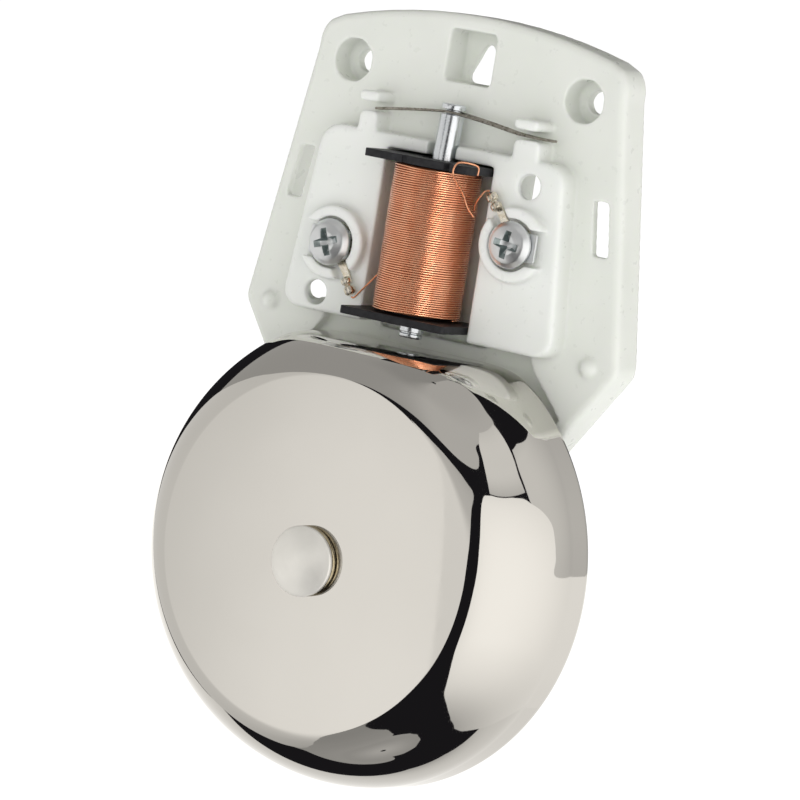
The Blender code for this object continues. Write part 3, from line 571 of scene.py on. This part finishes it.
def make_gong_cap():
    """A domed head on a threaded shank, which ends in a point."""
    low, high, middle = box_of("gong_cap_screw")
    radius = (high.x - low.x) / 2 / MM
    tip = CAP_HEIGHT - (high.y - low.y) / MM
    corners = [(0, CAP_RIM + CAP_DOME, 0)]
    for i in range(1, CAP_STEPS):
        r = (radius - 0.22) * i / CAP_STEPS
        corners.append((r, CAP_RIM + CAP_DOME * (1 - (r / radius) ** 2), 0))
    corners += [
        (radius - 0.2, 0.78, 0.15),
        (radius, 0.62, 0.12),
        (radius, 0.12, 0.1),
        (radius - 0.2, 0, 0.05),
        (CAP_SHANK, 0, 0.1),
    ]
    height = -0.9
    while height > tip + 1.3:
        corners.append((CAP_SHANK, height, 0.05))
        corners.append((CAP_ROOT, height - CAP_PITCH / 2, 0.05))
        height -= CAP_PITCH
    corners += [(2.2, height, 0.05), (1.8, tip, 0.1), (0, tip, 0)]
    mesh = revolve("cap", fillet(corners, 4), 128)
    seat = (FACE_Y - low.y) / MM - CAP_HEIGHT
    matrix = toward_viewer(middle.x / MM, seat, middle.z / MM)
    add_piece("gong_cap", mesh, "cap", "gong_cap", "gong_cap_screw", 40, matrix)


def make_turned_ring(node, material, body, bore, bands=()):
    """A ring with rounded outer edges, or one of bands with a groove after each. A band's value is
    how deep it lies."""
    low, high, middle = box_of(node)
    outer = (high.x - low.x) / 2 / MM
    deep = (high.y - low.y) / MM
    if bands:
        corners = [(bore, deep, 0)]
        step = deep / len(bands)
        for i, depth in enumerate(bands):
            top = deep - i * step
            corners += [(outer - depth, top, 0.08), (outer - depth, top - 0.9 * step, 0.08)]
        corners.append((bore, 0, 0))
    else:
        corners = [(bore, deep, 0), (outer, deep, 0.18), (outer, 0, 0.18), (bore, 0, 0)]
    mesh = revolve(node + "_turned", fillet(corners, 3), 96, closed=True)
    matrix = toward_viewer(middle.x / MM, (FACE_Y - high.y) / MM, middle.z / MM)
    add_piece(node + "_turned", mesh, material, body, node, 40, matrix)


def make_gong_fixings():
    make_gong_cap()
    make_turned_ring("cap_washer", "gold", "cap_seat", 2.7)
    make_turned_ring("gong_washer", "rubber", "base", 2.7)
    bands = [0.35 if i in (4, 5, 9) else 0.0 for i in range(12)]
    make_turned_ring("gong_insert", "brass", "base", 2.5, bands)


# ---------------------------------------------------------------- the coil

WIRE = 0.142  # radius
PITCH = 0.358


def make_bobbin():
    mesh = softened("coil_bobbin", 0.09, 2)
    add_piece("bobbin_moulding", mesh, "black", "base", "coil_bobbin", ALL_SMOOTH)


def make_winding():
    """One long wire laid turn on turn, with the small wanderings of a quick machine winding."""
    low, high, middle = box_of("coil_winding")
    foot = low.z / MM + WIRE
    head = high.z / MM - WIRE
    radius = (high.x - low.x) / 2 / MM - WIRE
    turns = int((head - foot) / PITCH)
    per_turn = 56
    path = []
    for i in range(turns * per_turn + 1):
        angle = math.tau * i / per_turn
        turn = i / per_turn
        z = foot + (head - foot) * turn / turns
        here = Vector((math.cos(angle) * 0.9, math.sin(angle) * 0.9, z * 0.3))
        wander = 0.12 * noise.noise(here) + 0.01 * noise.noise(here * 2.7 + Vector((7, 1, z * 3)))
        swell = 0.05 * noise.noise(here * 1.9 + Vector((2, 9, 4)))
        steadiness = min(1.0, 0.35 + 0.25 * min(turn, turns - turn))  # less near the flanges
        r = radius - 0.09 + swell
        z = min(max(z + wander / steadiness, foot), head)
        path.append(Vector((middle.x / MM + r * math.cos(angle), r * math.sin(angle), z)))
    mesh = tube_mesh("turns", path, WIRE, 8)
    matrix = Matrix.Translation((0, middle.y, 0)) @ Matrix.Scale(MM, 4)
    piece = add_piece(
        "winding_turns", mesh, "copper", "base", "coil_winding", ALL_SMOOTH, matrix
    )
    bpy.data.collections[GLINT_RECEIVERS].objects.link(piece)
    make_under_layer(low, high, middle, radius)


def make_under_layer(low, high, middle, radius):
    """The layer of turns below, as a ring with a groove for each turn, coloured darker as painted
    shade.
    """
    top, bottom, bore = high.z / MM, low.z / MM, 4.4
    ridge, groove = radius - 0.26, radius - 0.38
    profile = [Vector((bore, top))]
    for i in range(2 * int((top - bottom) / PITCH) + 1):
        height = max(top - i * PITCH / 2, bottom)
        profile.append(Vector((ridge if i % 2 else groove, height)))
    profile.append(Vector((bore, bottom)))
    mesh = revolve("layer", profile, 96, closed=True)
    matrix = Matrix.Translation((middle.x, middle.y, 0)) @ Matrix.Scale(MM, 4)
    add_piece("winding_layer", mesh, "copper_in_shade", "base", "coil_winding", 60, matrix)


# ---------------------------------------------------------------- the striker


ROD_RADIUS = 1.95
ROD_NECK = 1.28  # the groove that the spring's wire sits in
LEAN_RIGHT, LEAN_OUT = 1.0, -1.6  # degrees


def make_striker():
    """A rod with a groove near each end, leaning as the coil does."""
    lean = Matrix.Translation(spot(0, 3.5, 11.0))
    lean = lean @ Matrix.Rotation(math.radians(LEAN_RIGHT), 4, "Y")
    lean = lean @ Matrix.Rotation(math.radians(LEAN_OUT), 4, "X") @ Matrix.Scale(MM, 4)
    corners = [
        (0, 19.0, 0),
        (ROD_RADIUS, 19.0, 0.28),
        (ROD_RADIUS, 18.1, 0.08),
        (ROD_NECK, 18.06, 0.12),
        (ROD_NECK, 17.3, 0.12),
        (ROD_RADIUS, 17.26, 0.08),
        (ROD_RADIUS, -17.95, 0.06),
        (1.7, -18.02, 0.05),
        (1.7, -18.22, 0.05),
        (1.9, -18.3, 0.08),
        (1.9, -18.95, 0.3),
        (1.2, -18.95, 0.05),
        (0, -18.9, 0),
    ]
    mesh = revolve("rod", fillet(corners, 5), 96)
    add_piece("striker_rod", mesh, "rod", "plunger", "striker", 40, lean)


SPRING_WIRE = 0.21  # radius


def make_spring():
    """A hairpin of wire: it bends round at the left, and its two sides pass before and behind the
    rod's neck and run together to the right."""
    neck_x, neck_out, neck_z = 0.31, 3.01, 28.7
    ends_z = 27.1
    reach = 1.57
    left, right = -13.9, 20.0
    ends_gap = 0.6

    def height(x):
        return neck_z - (neck_z - ends_z) * min(abs(x - neck_x) / 14.0, 1.0) ** 1.3

    front = []
    back = []

    def add_both(x, spread):
        front.append(spot(x, neck_out + spread, height(x)))
        back.append(spot(x, neck_out - spread, height(x)))

    for share in (1.0, 0.72, 0.45, 0.2, 0.0):
        spread = reach * (0.45 + 0.55 * (1 - share) ** 0.5)
        add_both(neck_x + (left - neck_x + 0.4) * share, spread)
    for share in (0.2, 0.42, 0.64):
        add_both(neck_x + (right - neck_x) * share, reach * (1 - 0.62 * share))
    front += [
        spot(right - 3.2, neck_out + 0.62, ends_z),
        spot(right, neck_out + ends_gap, ends_z),
    ]
    back += [
        spot(right - 3.2, neck_out - 0.62, ends_z),
        spot(right - 0.3, neck_out - ends_gap, ends_z),
    ]
    bend = spot(left, neck_out, height(left))
    path = list(reversed(front)) + [bend] + back
    mesh = tube_mesh("hairpin", smooth_path(path, 10), SPRING_WIRE * MM, 12)
    piece = add_piece(
        "hairpin_spring", mesh, "spring", "base", "suspension_spring", 60
    )
    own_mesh(piece)


# ---------------------------------------------------------------- wires and terminals


COPPER_WIRE = 0.15  # radius of the winding's loose ends


def make_wires():
    """The two ends that run to the tags, and the start of the winding, looped round its flange."""
    front = 11.35  # how far out the flange's front edge stands
    paths = {
        "lead_wire_left": [
            (-11.5, 5.6, -3.35),
            (-10.9, 5.7, -3.3),
            (-9.9, 5.7, -2.1),
            (-8.7, 5.3, -0.4),
            (-7.9, 4.8, 0.9),
            (-7.4, 4.4, 1.9),
        ],
        "lead_wire_right": [
            (10.9, 5.6, 17.65),
            (10.3, 5.8, 17.5),
            (9.3, 5.6, 16.3),
            (8.2, 4.6, 15.2),
            (7.5, 3.6, 14.0),
        ],
        "winding_tail": [
            (10.35, front - 2.35, 19.9),
            (10.35, front - 2.15, 21.2),
            (9.6, front - 0.75, 21.6),
            (8.3, front + 0.35, 21.5),
            (7.6, front + 0.45, 20.6),
            (7.5, front + 0.3, 19.5),
            (7.35, front - 1.15, 18.5),
            (7.2, front - 3.95, 16.6),
            (7.7, front - 5.15, 14.5),
            (8.5, front - 6.15, 13.1),
        ],
    }
    for node, points in paths.items():
        path = smooth_path([spot(*p) for p in points], 10)
        mesh = tube_mesh(node + "_path", path, COPPER_WIRE * MM, 10)
        add_piece(node + "_wire", mesh, "copper", "base", node, 60)


SCREW_HEAD = 2.0
SCREW_SHANK, SCREW_CREST, SCREW_ROOT = 1.95, 1.93, 1.58
SCREW_PITCH = 0.7
RECESS_TURN = {"left": 20, "right": -8}  # degrees
RECESS_REACH = 2.8


def screw_profile(radius, shank):
    """A pan head over a threaded shank, as corners for fillet."""
    tall = SCREW_HEAD
    corners = [
        (0, tall, 0),
        (0.45 * radius, tall * 0.96, 0.9),
        (0.8 * radius, tall * 0.76, 0.9),
        (radius, tall * 0.36, 0.35),
        (radius, 0.12, 0.12),
        (0.95 * radius, 0, 0.05),
        (SCREW_SHANK, 0, 0.1),
    ]
    height = -1.6
    corners.append((SCREW_SHANK, height, 0))
    while height > -shank + 1.4:
        corners.append((SCREW_CREST, height - 0.12, 0.03))
        corners.append((SCREW_ROOT, height - 0.4, 0.03))
        corners.append((SCREW_CREST, height - 0.65, 0.03))
        height -= SCREW_PITCH
    return corners + [(1.5, 0.3 - shank, 0.1), (1.3, -shank, 0.1), (0, -shank, 0)]


def make_screw(side):
    """A pan head screw. Its recess is cut, and then its edges are rounded."""
    node = "terminal_screw_" + side
    low, high, middle = box_of(node)
    radius = (high.x - low.x) / 2 / MM - 0.12
    shank = (high.y - low.y) / MM - SCREW_HEAD
    profile = fillet(screw_profile(radius, shank), 5)
    screw = loose(node + "_blank", revolve(node, profile, 80))
    recess = recess_mesh(SCREW_HEAD)
    recess.transform(Matrix.Rotation(math.radians(RECESS_TURN[side]), 4, "Z"))
    cutter = loose(node + "_recess", recess)
    punched(screw, cutter)
    bevel = screw.modifiers.new("edges", "BEVEL")
    bevel.width = 0.07
    bevel.segments = 2
    bevel.limit_method = "ANGLE"
    bevel.angle_limit = math.radians(50)
    mesh = applied(screw)
    bpy.data.objects.remove(cutter, do_unlink=True)
    # Faces inside the cross recess, which get the darker zinc as painted shade.
    in_recess = []
    for face in mesh.polygons:
        reach = math.hypot(face.center.x, face.center.y)
        facing_out = face.normal.z >= 0.8
        in_recess.append(face.center.z > 0.1 and reach < RECESS_REACH and not facing_out)
    out = (FACE_Y - low.y) / MM - SCREW_HEAD
    matrix = toward_viewer(middle.x / MM, out, middle.z / MM)
    add_piece(node + "_zinc", mesh, "zinc", "screw_" + side, node, 35, matrix)
    # Painted shade: the recess faces take the darker zinc.
    mesh.materials.append(LOOKS["recess"])
    mesh.polygons.foreach_set("material_index", [int(inside) for inside in in_recess])


def recess_mesh(tall):
    """A cross recess: four tapering arms that meet in a blunt cone. Each level has the height
    above the head, the arms' length, and half their width."""
    levels = ((0.6, 2.75, 0.6), (0.0, 2.5, 0.55), (-1.0, 1.5, 0.42), (-1.65, 0.5, 0.32))
    verts = []
    for rise, reach, half in levels:
        inner = half + 0.1
        for quarter in range(4):
            turn = Matrix.Rotation(quarter * math.pi / 2, 2)
            for x, y in ((reach, -half), (reach, half), (inner, inner)):
                spun = turn @ Vector((x, y))
                verts.append((spun.x, spun.y, tall + rise))
    return mesh_from("cross_recess", verts, stacked_faces(len(levels), 12))


def stacked_faces(levels, per_level):
    """The sides and the two ends of a solid whose points lie in rings, one ring on the next."""
    faces = []
    for level in range(levels - 1):
        for i in range(per_level):
            a = level * per_level + i
            b = level * per_level + (i + 1) % per_level
            faces.append((a, b, b + per_level, a + per_level))
    faces.append(tuple(range(per_level)))
    faces.append(tuple(reversed(range((levels - 1) * per_level, levels * per_level))))
    return faces


TAG_TURN = {"left": -57, "right": 127}  # degrees
TAG_THICK = 0.45
TAG_RADIUS, TAG_HOLE = 3.4, 2.2
TAG_MOUTH = 18  # half the angle that the ring leaves to its neck
CRIMP_LIMIT = 0.94
CRIMP_AXIS = 0.95  # how far the crimp's middle stands over the tongue's underside


def make_tag(side):
    """A ring tongue with a narrow neck, and a crimp squeezed round the wire in two places."""
    node = "terminal_tag_" + side
    screw = box_of("terminal_screw_" + side)[2]
    _, high, _ = box_of(node)
    around = toward_viewer(screw.x / MM, (FACE_Y - high.y) / MM, screw.z / MM)
    around = around @ Matrix.Rotation(math.radians(TAG_TURN[side]), 4, "Z")
    tongue = tongue_mesh(node + "_tongue")
    add_piece(node + "_tongue", tongue, "tinned", "base", node, 35, around)
    crimp = crimp_mesh(node + "_crimp")
    add_piece(node + "_crimp", crimp, "tinned", "base", node, 40, around)


def slab(name, outline, low, high):
    """A flat outline given thickness."""
    verts = [(x, y, z) for z in (low, high) for x, y in outline]
    return loose(name, mesh_from(name, verts, stacked_faces(2, len(outline))))


def tongue_mesh(name):
    outline = []
    arc_steps = 48
    for i in range(arc_steps + 1):
        turn = math.radians(TAG_MOUTH + (360 - 2 * TAG_MOUTH) * i / arc_steps)
        outline.append((TAG_RADIUS * math.cos(turn), TAG_RADIUS * math.sin(turn)))
    outline += [(4.2, -0.62), (6.4, -0.55), (6.4, 0.55), (4.2, 0.62)]
    hole = []
    hole_steps = 40
    for i in range(hole_steps):
        turn = math.tau * i / hole_steps
        hole.append((TAG_HOLE * math.cos(turn), TAG_HOLE * math.sin(turn)))
    tongue = slab(name, outline, 0.0, TAG_THICK)
    cutter = slab(name + "_punch", hole, -1.0, 1.5)
    punched(tongue, cutter)
    mesh = applied(tongue)
    bpy.data.objects.remove(cutter, do_unlink=True)
    return mesh


def crimp_mesh(name):
    """A folded sleeve that swells and narrows along its length, with a seam on top and small
    dents. Its sizes are (distance from the screw's axis, radius)."""
    sizes = [
        (6.2, 0.5),
        (6.45, 0.86),
        (6.9, 0.92),
        (7.3, 0.8),
        (7.5, 0.52),
        (7.75, 0.54),
        (7.95, 0.84),
        (8.4, 0.93),
        (8.9, 0.88),
        (9.2, 0.6),
        (9.25, 0.3),
    ]
    verts = []
    steps = 28
    path = smooth_path([Vector((at, size, 0)) for at, size in sizes], 4)
    for point in path:
        for i in range(steps):
            turn = math.tau * i / steps
            across, up = math.cos(turn), math.sin(turn)
            seam = 1 - 0.24 * math.exp(-(((turn - math.pi / 2) / 0.26) ** 2))
            dent = 1 + 0.1 * noise.noise(Vector((point.x * 1.6, across * 2, up * 2)))
            size = min(point.y * seam * dent, CRIMP_LIMIT)
            verts.append((point.x, size * across, CRIMP_AXIS + size * up))
    return mesh_from(name, verts, stacked_faces(len(path), steps))


def make_terminals():
    for side in ("left", "right"):
        make_screw(side)
        bodies = {"clamp_plate_" + side: "clamp_" + side, "terminal_nut_" + side: "base"}
        for node, body in bodies.items():
            mesh = softened(node, 0.09, 2)
            add_piece(node + "_piece", mesh, "zinc", body, node, ALL_SMOOTH)
        make_tag(side)


# ---------------------------------------------------------------- the studio


VIEW_AZIMUTH, VIEW_ELEVATION, VIEW_ROLL = 31.74, 4.51, 9.16  # degrees
VIEW_DISTANCE = 0.77775
VIEW_LENS, VIEW_SENSOR = 218.23, 36.0
AIM_LEFT, AIM_DOWN = 0.0068, 0.02276  # tangents: it looks left of and below what it circles


def make_camera():
    data = bpy.data.cameras.new("view")
    data.lens = VIEW_LENS
    data.sensor_width = VIEW_SENSOR
    data.sensor_fit = "HORIZONTAL"
    data.clip_end = 50
    camera = bpy.data.objects.new("view", data)
    azimuth = math.radians(VIEW_AZIMUTH)
    elevation = math.radians(VIEW_ELEVATION)
    roll = math.radians(VIEW_ROLL)
    flat = math.cos(elevation)
    away = Vector((math.sin(azimuth) * flat, -math.cos(azimuth) * flat, math.sin(elevation)))
    right = Vector((math.cos(azimuth), math.sin(azimuth), 0))
    up = away.cross(right)
    rolled_up = up * math.cos(roll) - right * math.sin(roll)
    rolled_right = right * math.cos(roll) + up * math.sin(roll)
    back = (away + rolled_right * AIM_LEFT + rolled_up * AIM_DOWN).normalized()
    top = (rolled_up - back * rolled_up.dot(back)).normalized()
    turn = Matrix((top.cross(back), top, back)).transposed().to_4x4()
    place = Vector((0, FACE_Y, 0)) + away * VIEW_DISTANCE
    camera.matrix_world = Matrix.Translation(place) @ turn
    bpy.context.scene.collection.objects.link(camera)
    bpy.context.scene.camera = camera


PANEL_TINT = (1.0, 0.985, 0.955)
PANEL_MIDDLE = Vector((0, -0.02, -0.04))


def glow_material(name, strength):
    """Light of this strength, scaled from point to point by the mesh's glow attribute."""
    material = bpy.data.materials.new(name)
    material.use_nodes = True
    nodes = material.node_tree.nodes
    nodes.clear()
    output = nodes.new("ShaderNodeOutputMaterial")
    glow = nodes.new("ShaderNodeEmission")
    glow.inputs["Color"].default_value = (*PANEL_TINT, 1)
    level = nodes.new("ShaderNodeAttribute")
    level.attribute_name = "glow"
    scale = nodes.new("ShaderNodeMath")
    scale.operation = "MULTIPLY"
    scale.inputs[1].default_value = strength
    links = material.node_tree.links
    links.new(level.outputs["Fac"], scale.inputs[0])
    links.new(scale.outputs[0], glow.inputs["Strength"])
    links.new(glow.outputs[0], output.inputs["Surface"])
    return material


def softbox(name, rows, strength, radius, shade=None):
    """A curved light panel: rows of (elevation, left azimuth, right azimuth, glow), in degrees.
    Azimuth 0 is straight out from the wall and 90 is towards +X. shade(azimuth, elevation) scales
    the glow from place to place. The camera doesn't see the panel, and only what is glossy or lit
    by it shows that it is there."""
    rows = sorted(rows)
    edges = smooth_path([Vector(row[:3]) for row in rows], 6)
    glows = smooth_path([Vector((row[3], 0, 0)) for row in rows], 6)
    columns = 48
    verts = []
    levels = []
    for row, glow in zip(edges, glows):
        for i in range(columns + 1):
            across = row.y + (row.z - row.y) * i / columns
            level = glow.x * shade(across, row.x) if shade else glow.x
            azimuth, elevation = math.radians(across), math.radians(row.x)
            flat = math.cos(elevation) * radius
            up = math.sin(elevation) * radius
            aim = Vector((math.sin(azimuth) * flat, -math.cos(azimuth) * flat, up))
            verts.append(PANEL_MIDDLE + aim)
            levels.append(level)
    faces = []
    for i in range(len(edges) - 1):
        for j in range(columns):
            a = i * (columns + 1) + j
            faces.append((a, a + 1, a + columns + 2, a + columns + 1))
    mesh = bpy.data.meshes.new(name)
    mesh.from_pydata([tuple(v) for v in verts], [], faces)
    attribute = mesh.attributes.new("glow", "FLOAT", "POINT")
    attribute.data.foreach_set("value", levels)
    mesh.materials.append(glow_material(name + "_glow", strength))
    panel = bpy.data.objects.new(name, mesh)
    bpy.context.scene.collection.objects.link(panel)
    panel.visible_camera = False
    panel.visible_shadow = False


def left_shade(across, up):
    """A broad hot spot, as a lamp behind a diffuser makes."""
    return 1 + 0.44 * math.exp(-(math.hypot((across + 28) / 12, (up + 17) / 25) ** 3))


def middle_shade(_, up):
    """Brighter towards the foot."""
    return 1 + 0.45 * (1 - fade(up, 0, 14))


def right_shade(across, up):
    """A wide, faint hot spot."""
    return 1 + 0.3 * math.exp(-(math.hypot(across - 76, up + 8) / 55) ** 3)


def ceiling_shade(across, up):
    """Brighter towards the right, and a little dimmer overhead."""
    return 0.78 + 0.36 * fade(across, -30, 10) - 0.1 * fade(up, 60, 75)


def wall_shade(across, _):
    """Dimmer towards the wall."""
    return 1 - 0.3 * fade(across, 115, 170)


def make_panels():
    """The softboxes round the bell. Their outlines are what its polished gong mirrors."""
    left = [
        (-62, -72, -62, 0.66),
        (-58, -80, -48, 0.74),
        (-52, -84, -40, 0.8),
        (-45, -88, -34, 0.9),
        (-35, -94, -30, 0.98),
        (-25, -102, -27, 1.02),
        (-15, -112, -25, 1.04),
        (-5, -124, -25, 1.04),
        (0, -122, -27, 1.02),
        (5, -116, -30, 1.0),
        (10, -110, -35, 1.0),
        (15, -103, -40, 1.0),
        (20, -92, -48, 0.99),
        (23, -82, -58, 0.98),
        (24.5, -74, -66, 0.98),
    ]
    softbox("panel_left", left, 0.73, 2.5, left_shade)
    middle = [
        (-14, -26, -21, 1.0),
        (-9, -27, -9, 1.0),
        (-4, -27, -1, 1.0),
        (2, -26, 9, 1.0),
        (8, -20, 16, 1.0),
        (13, -14, 21, 1.0),
        (18, -7, 26, 0.98),
        (22, 0, 31, 0.95),
        (26, 11, 35, 0.9),
        (28, 20, 34, 0.85),
    ]
    softbox("panel_middle", middle, 0.64, 2.55, middle_shade)
    right = [
        (-63, 100, 122, 0.5),
        (-60, 80, 134, 0.58),
        (-55, 62, 142, 0.68),
        (-50, 50, 148, 0.78),
        (-45, 44, 152, 0.86),
        (-38, 37, 158, 0.93),
        (-32, 31, 165, 0.97),
        (-26, 26, 165, 1.0),
        (-20, 25, 162, 1.0),
        (-10, 28, 160, 1.0),
        (-4, 31, 158, 1.0),
        (-2, 32, 156, 1.0),
        (0, 33, 124, 1.0),
        (6, 35, 123, 1.0),
        (12, 38, 123, 1.0),
        (18, 41, 122, 0.99),
        (24, 45, 115, 0.97),
        (28, 49, 107, 0.95),
        (31, 54, 100, 0.92),
        (32.5, 64, 88, 0.9),
    ]
    softbox("panel_right", right, 1.0, 2.6, right_shade)
    wall = [
        (-6, 116, 172, 0.9),
        (5, 116, 172, 0.95),
        (15, 114, 172, 1.0),
        (24, 109, 172, 1.0),
        (30, 106, 172, 1.0),
        (38, 106, 172, 1.0),
        (42, 107, 172, 1.0),
        (45, 109, 140, 1.0),
        (49, 112, 122, 0.9),
    ]
    softbox("panel_wall_side", wall, 0.8, 2.68, wall_shade)
    back = [
        (-58, -190, -170, 0.5),
        (-53, -214, -150, 0.7),
        (-48, -215, -130, 0.8),
        (-42, -215, -92, 0.85),
        (-36, -215, -95, 0.92),
        (-28, -212, -103, 1.0),
        (-20, -210, -109, 1.1),
        (-12, -206, -116, 1.2),
        (-6, -205, -126, 1.2),
        (-3, -205, -140, 1.1),
    ]
    softbox("panel_back", back, 0.98, 2.65)
    ceiling = [
        (3, -60, -33, 1.0),
        (10, -90, -29, 1.0),
        (18, -108, -21, 1.0),
        (24, -122, -13, 1.0),
        (28, -138, -5, 1.0),
        (33, -140, 9, 1.0),
        (38, -142, 30, 1.0),
        (42, -142, 52, 1.0),
        (48, -142, 60, 1.0),
        (55, -144, 66, 1.0),
        (60, -146, 112, 1.0),
        (66, -156, 124, 1.0),
        (71, -168, 146, 1.0),
        (76, -180, 180, 1.0),
        (89, -180, 180, 1.0),
    ]
    softbox("panel_top", ceiling, 0.52, 2.72, ceiling_shade)
    upper = [
        (33, 62, 104, 0.75),
        (40, 63, 104, 0.97),
        (47, 65, 108, 1.0),
        (55, 69, 112, 1.0),
        (61, 80, 114, 0.9),
    ]
    softbox("panel_upper_right", upper, 0.84, 2.65)
    ground = [
        (-89, -180, 180, 1.5),
        (-79, -180, 180, 1.1),
        (-74, -170, 35, 1.1),
        (-70, -112, 17, 1.05),
        (-65, -82, 9, 1.0),
        (-60, -76, 3, 0.98),
        (-55, -70, -4, 0.95),
        (-48, -60, -11, 0.92),
        (-40, -50, -16, 0.9),
        (-30, -45, -21, 0.9),
        (-18, -40, -26, 0.8),
    ]
    softbox("panel_ground", ground, 0.36, 2.75)


def shaded_background(nodes, colour, strength):
    background = nodes.new("ShaderNodeBackground")
    background.inputs["Color"].default_value = (*colour, 1)
    background.inputs["Strength"].default_value = strength
    return background.outputs[0]


def make_surround():
    """White to the camera, a dim room to dull surfaces, and nearly black to glossy ones, which
    mirror the panels."""
    world = bpy.data.worlds.new("studio")
    bpy.context.scene.world = world
    world.use_nodes = True
    nodes = world.node_tree.nodes
    links = world.node_tree.links
    nodes.clear()
    output = nodes.new("ShaderNodeOutputWorld")
    path = nodes.new("ShaderNodeLightPath")
    glossy = nodes.new("ShaderNodeMixShader")
    seen = nodes.new("ShaderNodeMixShader")
    links.new(path.outputs["Is Glossy Ray"], glossy.inputs[0])
    links.new(shaded_background(nodes, (0.97, 0.985, 1.0), 0.26), glossy.inputs[1])
    links.new(shaded_background(nodes, (0.9, 0.85, 1.0), 0.014), glossy.inputs[2])
    links.new(path.outputs["Is Camera Ray"], seen.inputs[0])
    links.new(glossy.outputs[0], seen.inputs[1])
    links.new(shaded_background(nodes, (1, 1, 1), 1.1), seen.inputs[2])
    links.new(seen.outputs[0], output.inputs["Surface"])


GLINT_RECEIVERS = "coil_glint_receivers"


def make_lights():
    """Two soft lights for everything, and one for the winding alone, which gives its bright
    streak."""
    glint = area_light("coil_glint", (0.75, -0.72, -0.05), 0.5, 4.4)
    glint.visible_glossy = True
    lit = bpy.data.collections.new(GLINT_RECEIVERS)
    glint.light_linking.receiver_collection = lit
    area_light("key", (0.25, -1.0, 0.2), 0.6, 1.6)
    area_light("side", (0.9, -0.6, 0.0), 0.6, 1.2)


def area_light(name, place, size, power):
    """A square light that faces the origin and doesn't show in the gong."""
    data = bpy.data.lights.new(name, "AREA")
    data.energy = power
    data.size = size
    light = bpy.data.objects.new(name, data)
    light.location = place
    light.rotation_euler = (-Vector(place)).to_track_quat("-Z", "Y").to_euler()
    light.visible_glossy = False
    light.visible_camera = False
    bpy.context.scene.collection.objects.link(light)
    return light


def make_floor():
    """A pale floor well below the bell, bright enough to run into the background."""
    mesh = bpy.data.meshes.new("floor")
    edit = bmesh.new()
    bmesh.ops.create_grid(edit, x_segments=2, y_segments=2, size=9)
    edit.to_mesh(mesh)
    edit.free()
    floor = bpy.data.objects.new("floor", mesh)
    floor.location.z = CAD_BOX[0][2] - 0.12
    material = bpy.data.materials.new("pale_floor")
    material.use_nodes = True
    shader = material.node_tree.nodes["Principled BSDF"]
    shader.inputs["Base Color"].default_value = (0.3, 0.3, 0.3, 1)
    shader.inputs["Roughness"].default_value = 0.8
    shader.inputs["Emission Color"].default_value = (1, 1, 1, 1)
    shader.inputs["Emission Strength"].default_value = 1.0
    mesh.materials.append(material)
    bpy.context.scene.collection.objects.link(floor)
    floor.visible_glossy = False


LOOKS = make_looks()
bpy.context.scene.view_settings.view_transform = "Standard"
make_camera()
make_panels()
make_surround()
make_lights()
make_floor()
make_plate()
make_gong()
make_gong_fixings()
make_bobbin()
make_winding()
make_striker()
make_spring()
make_wires()
make_terminals()
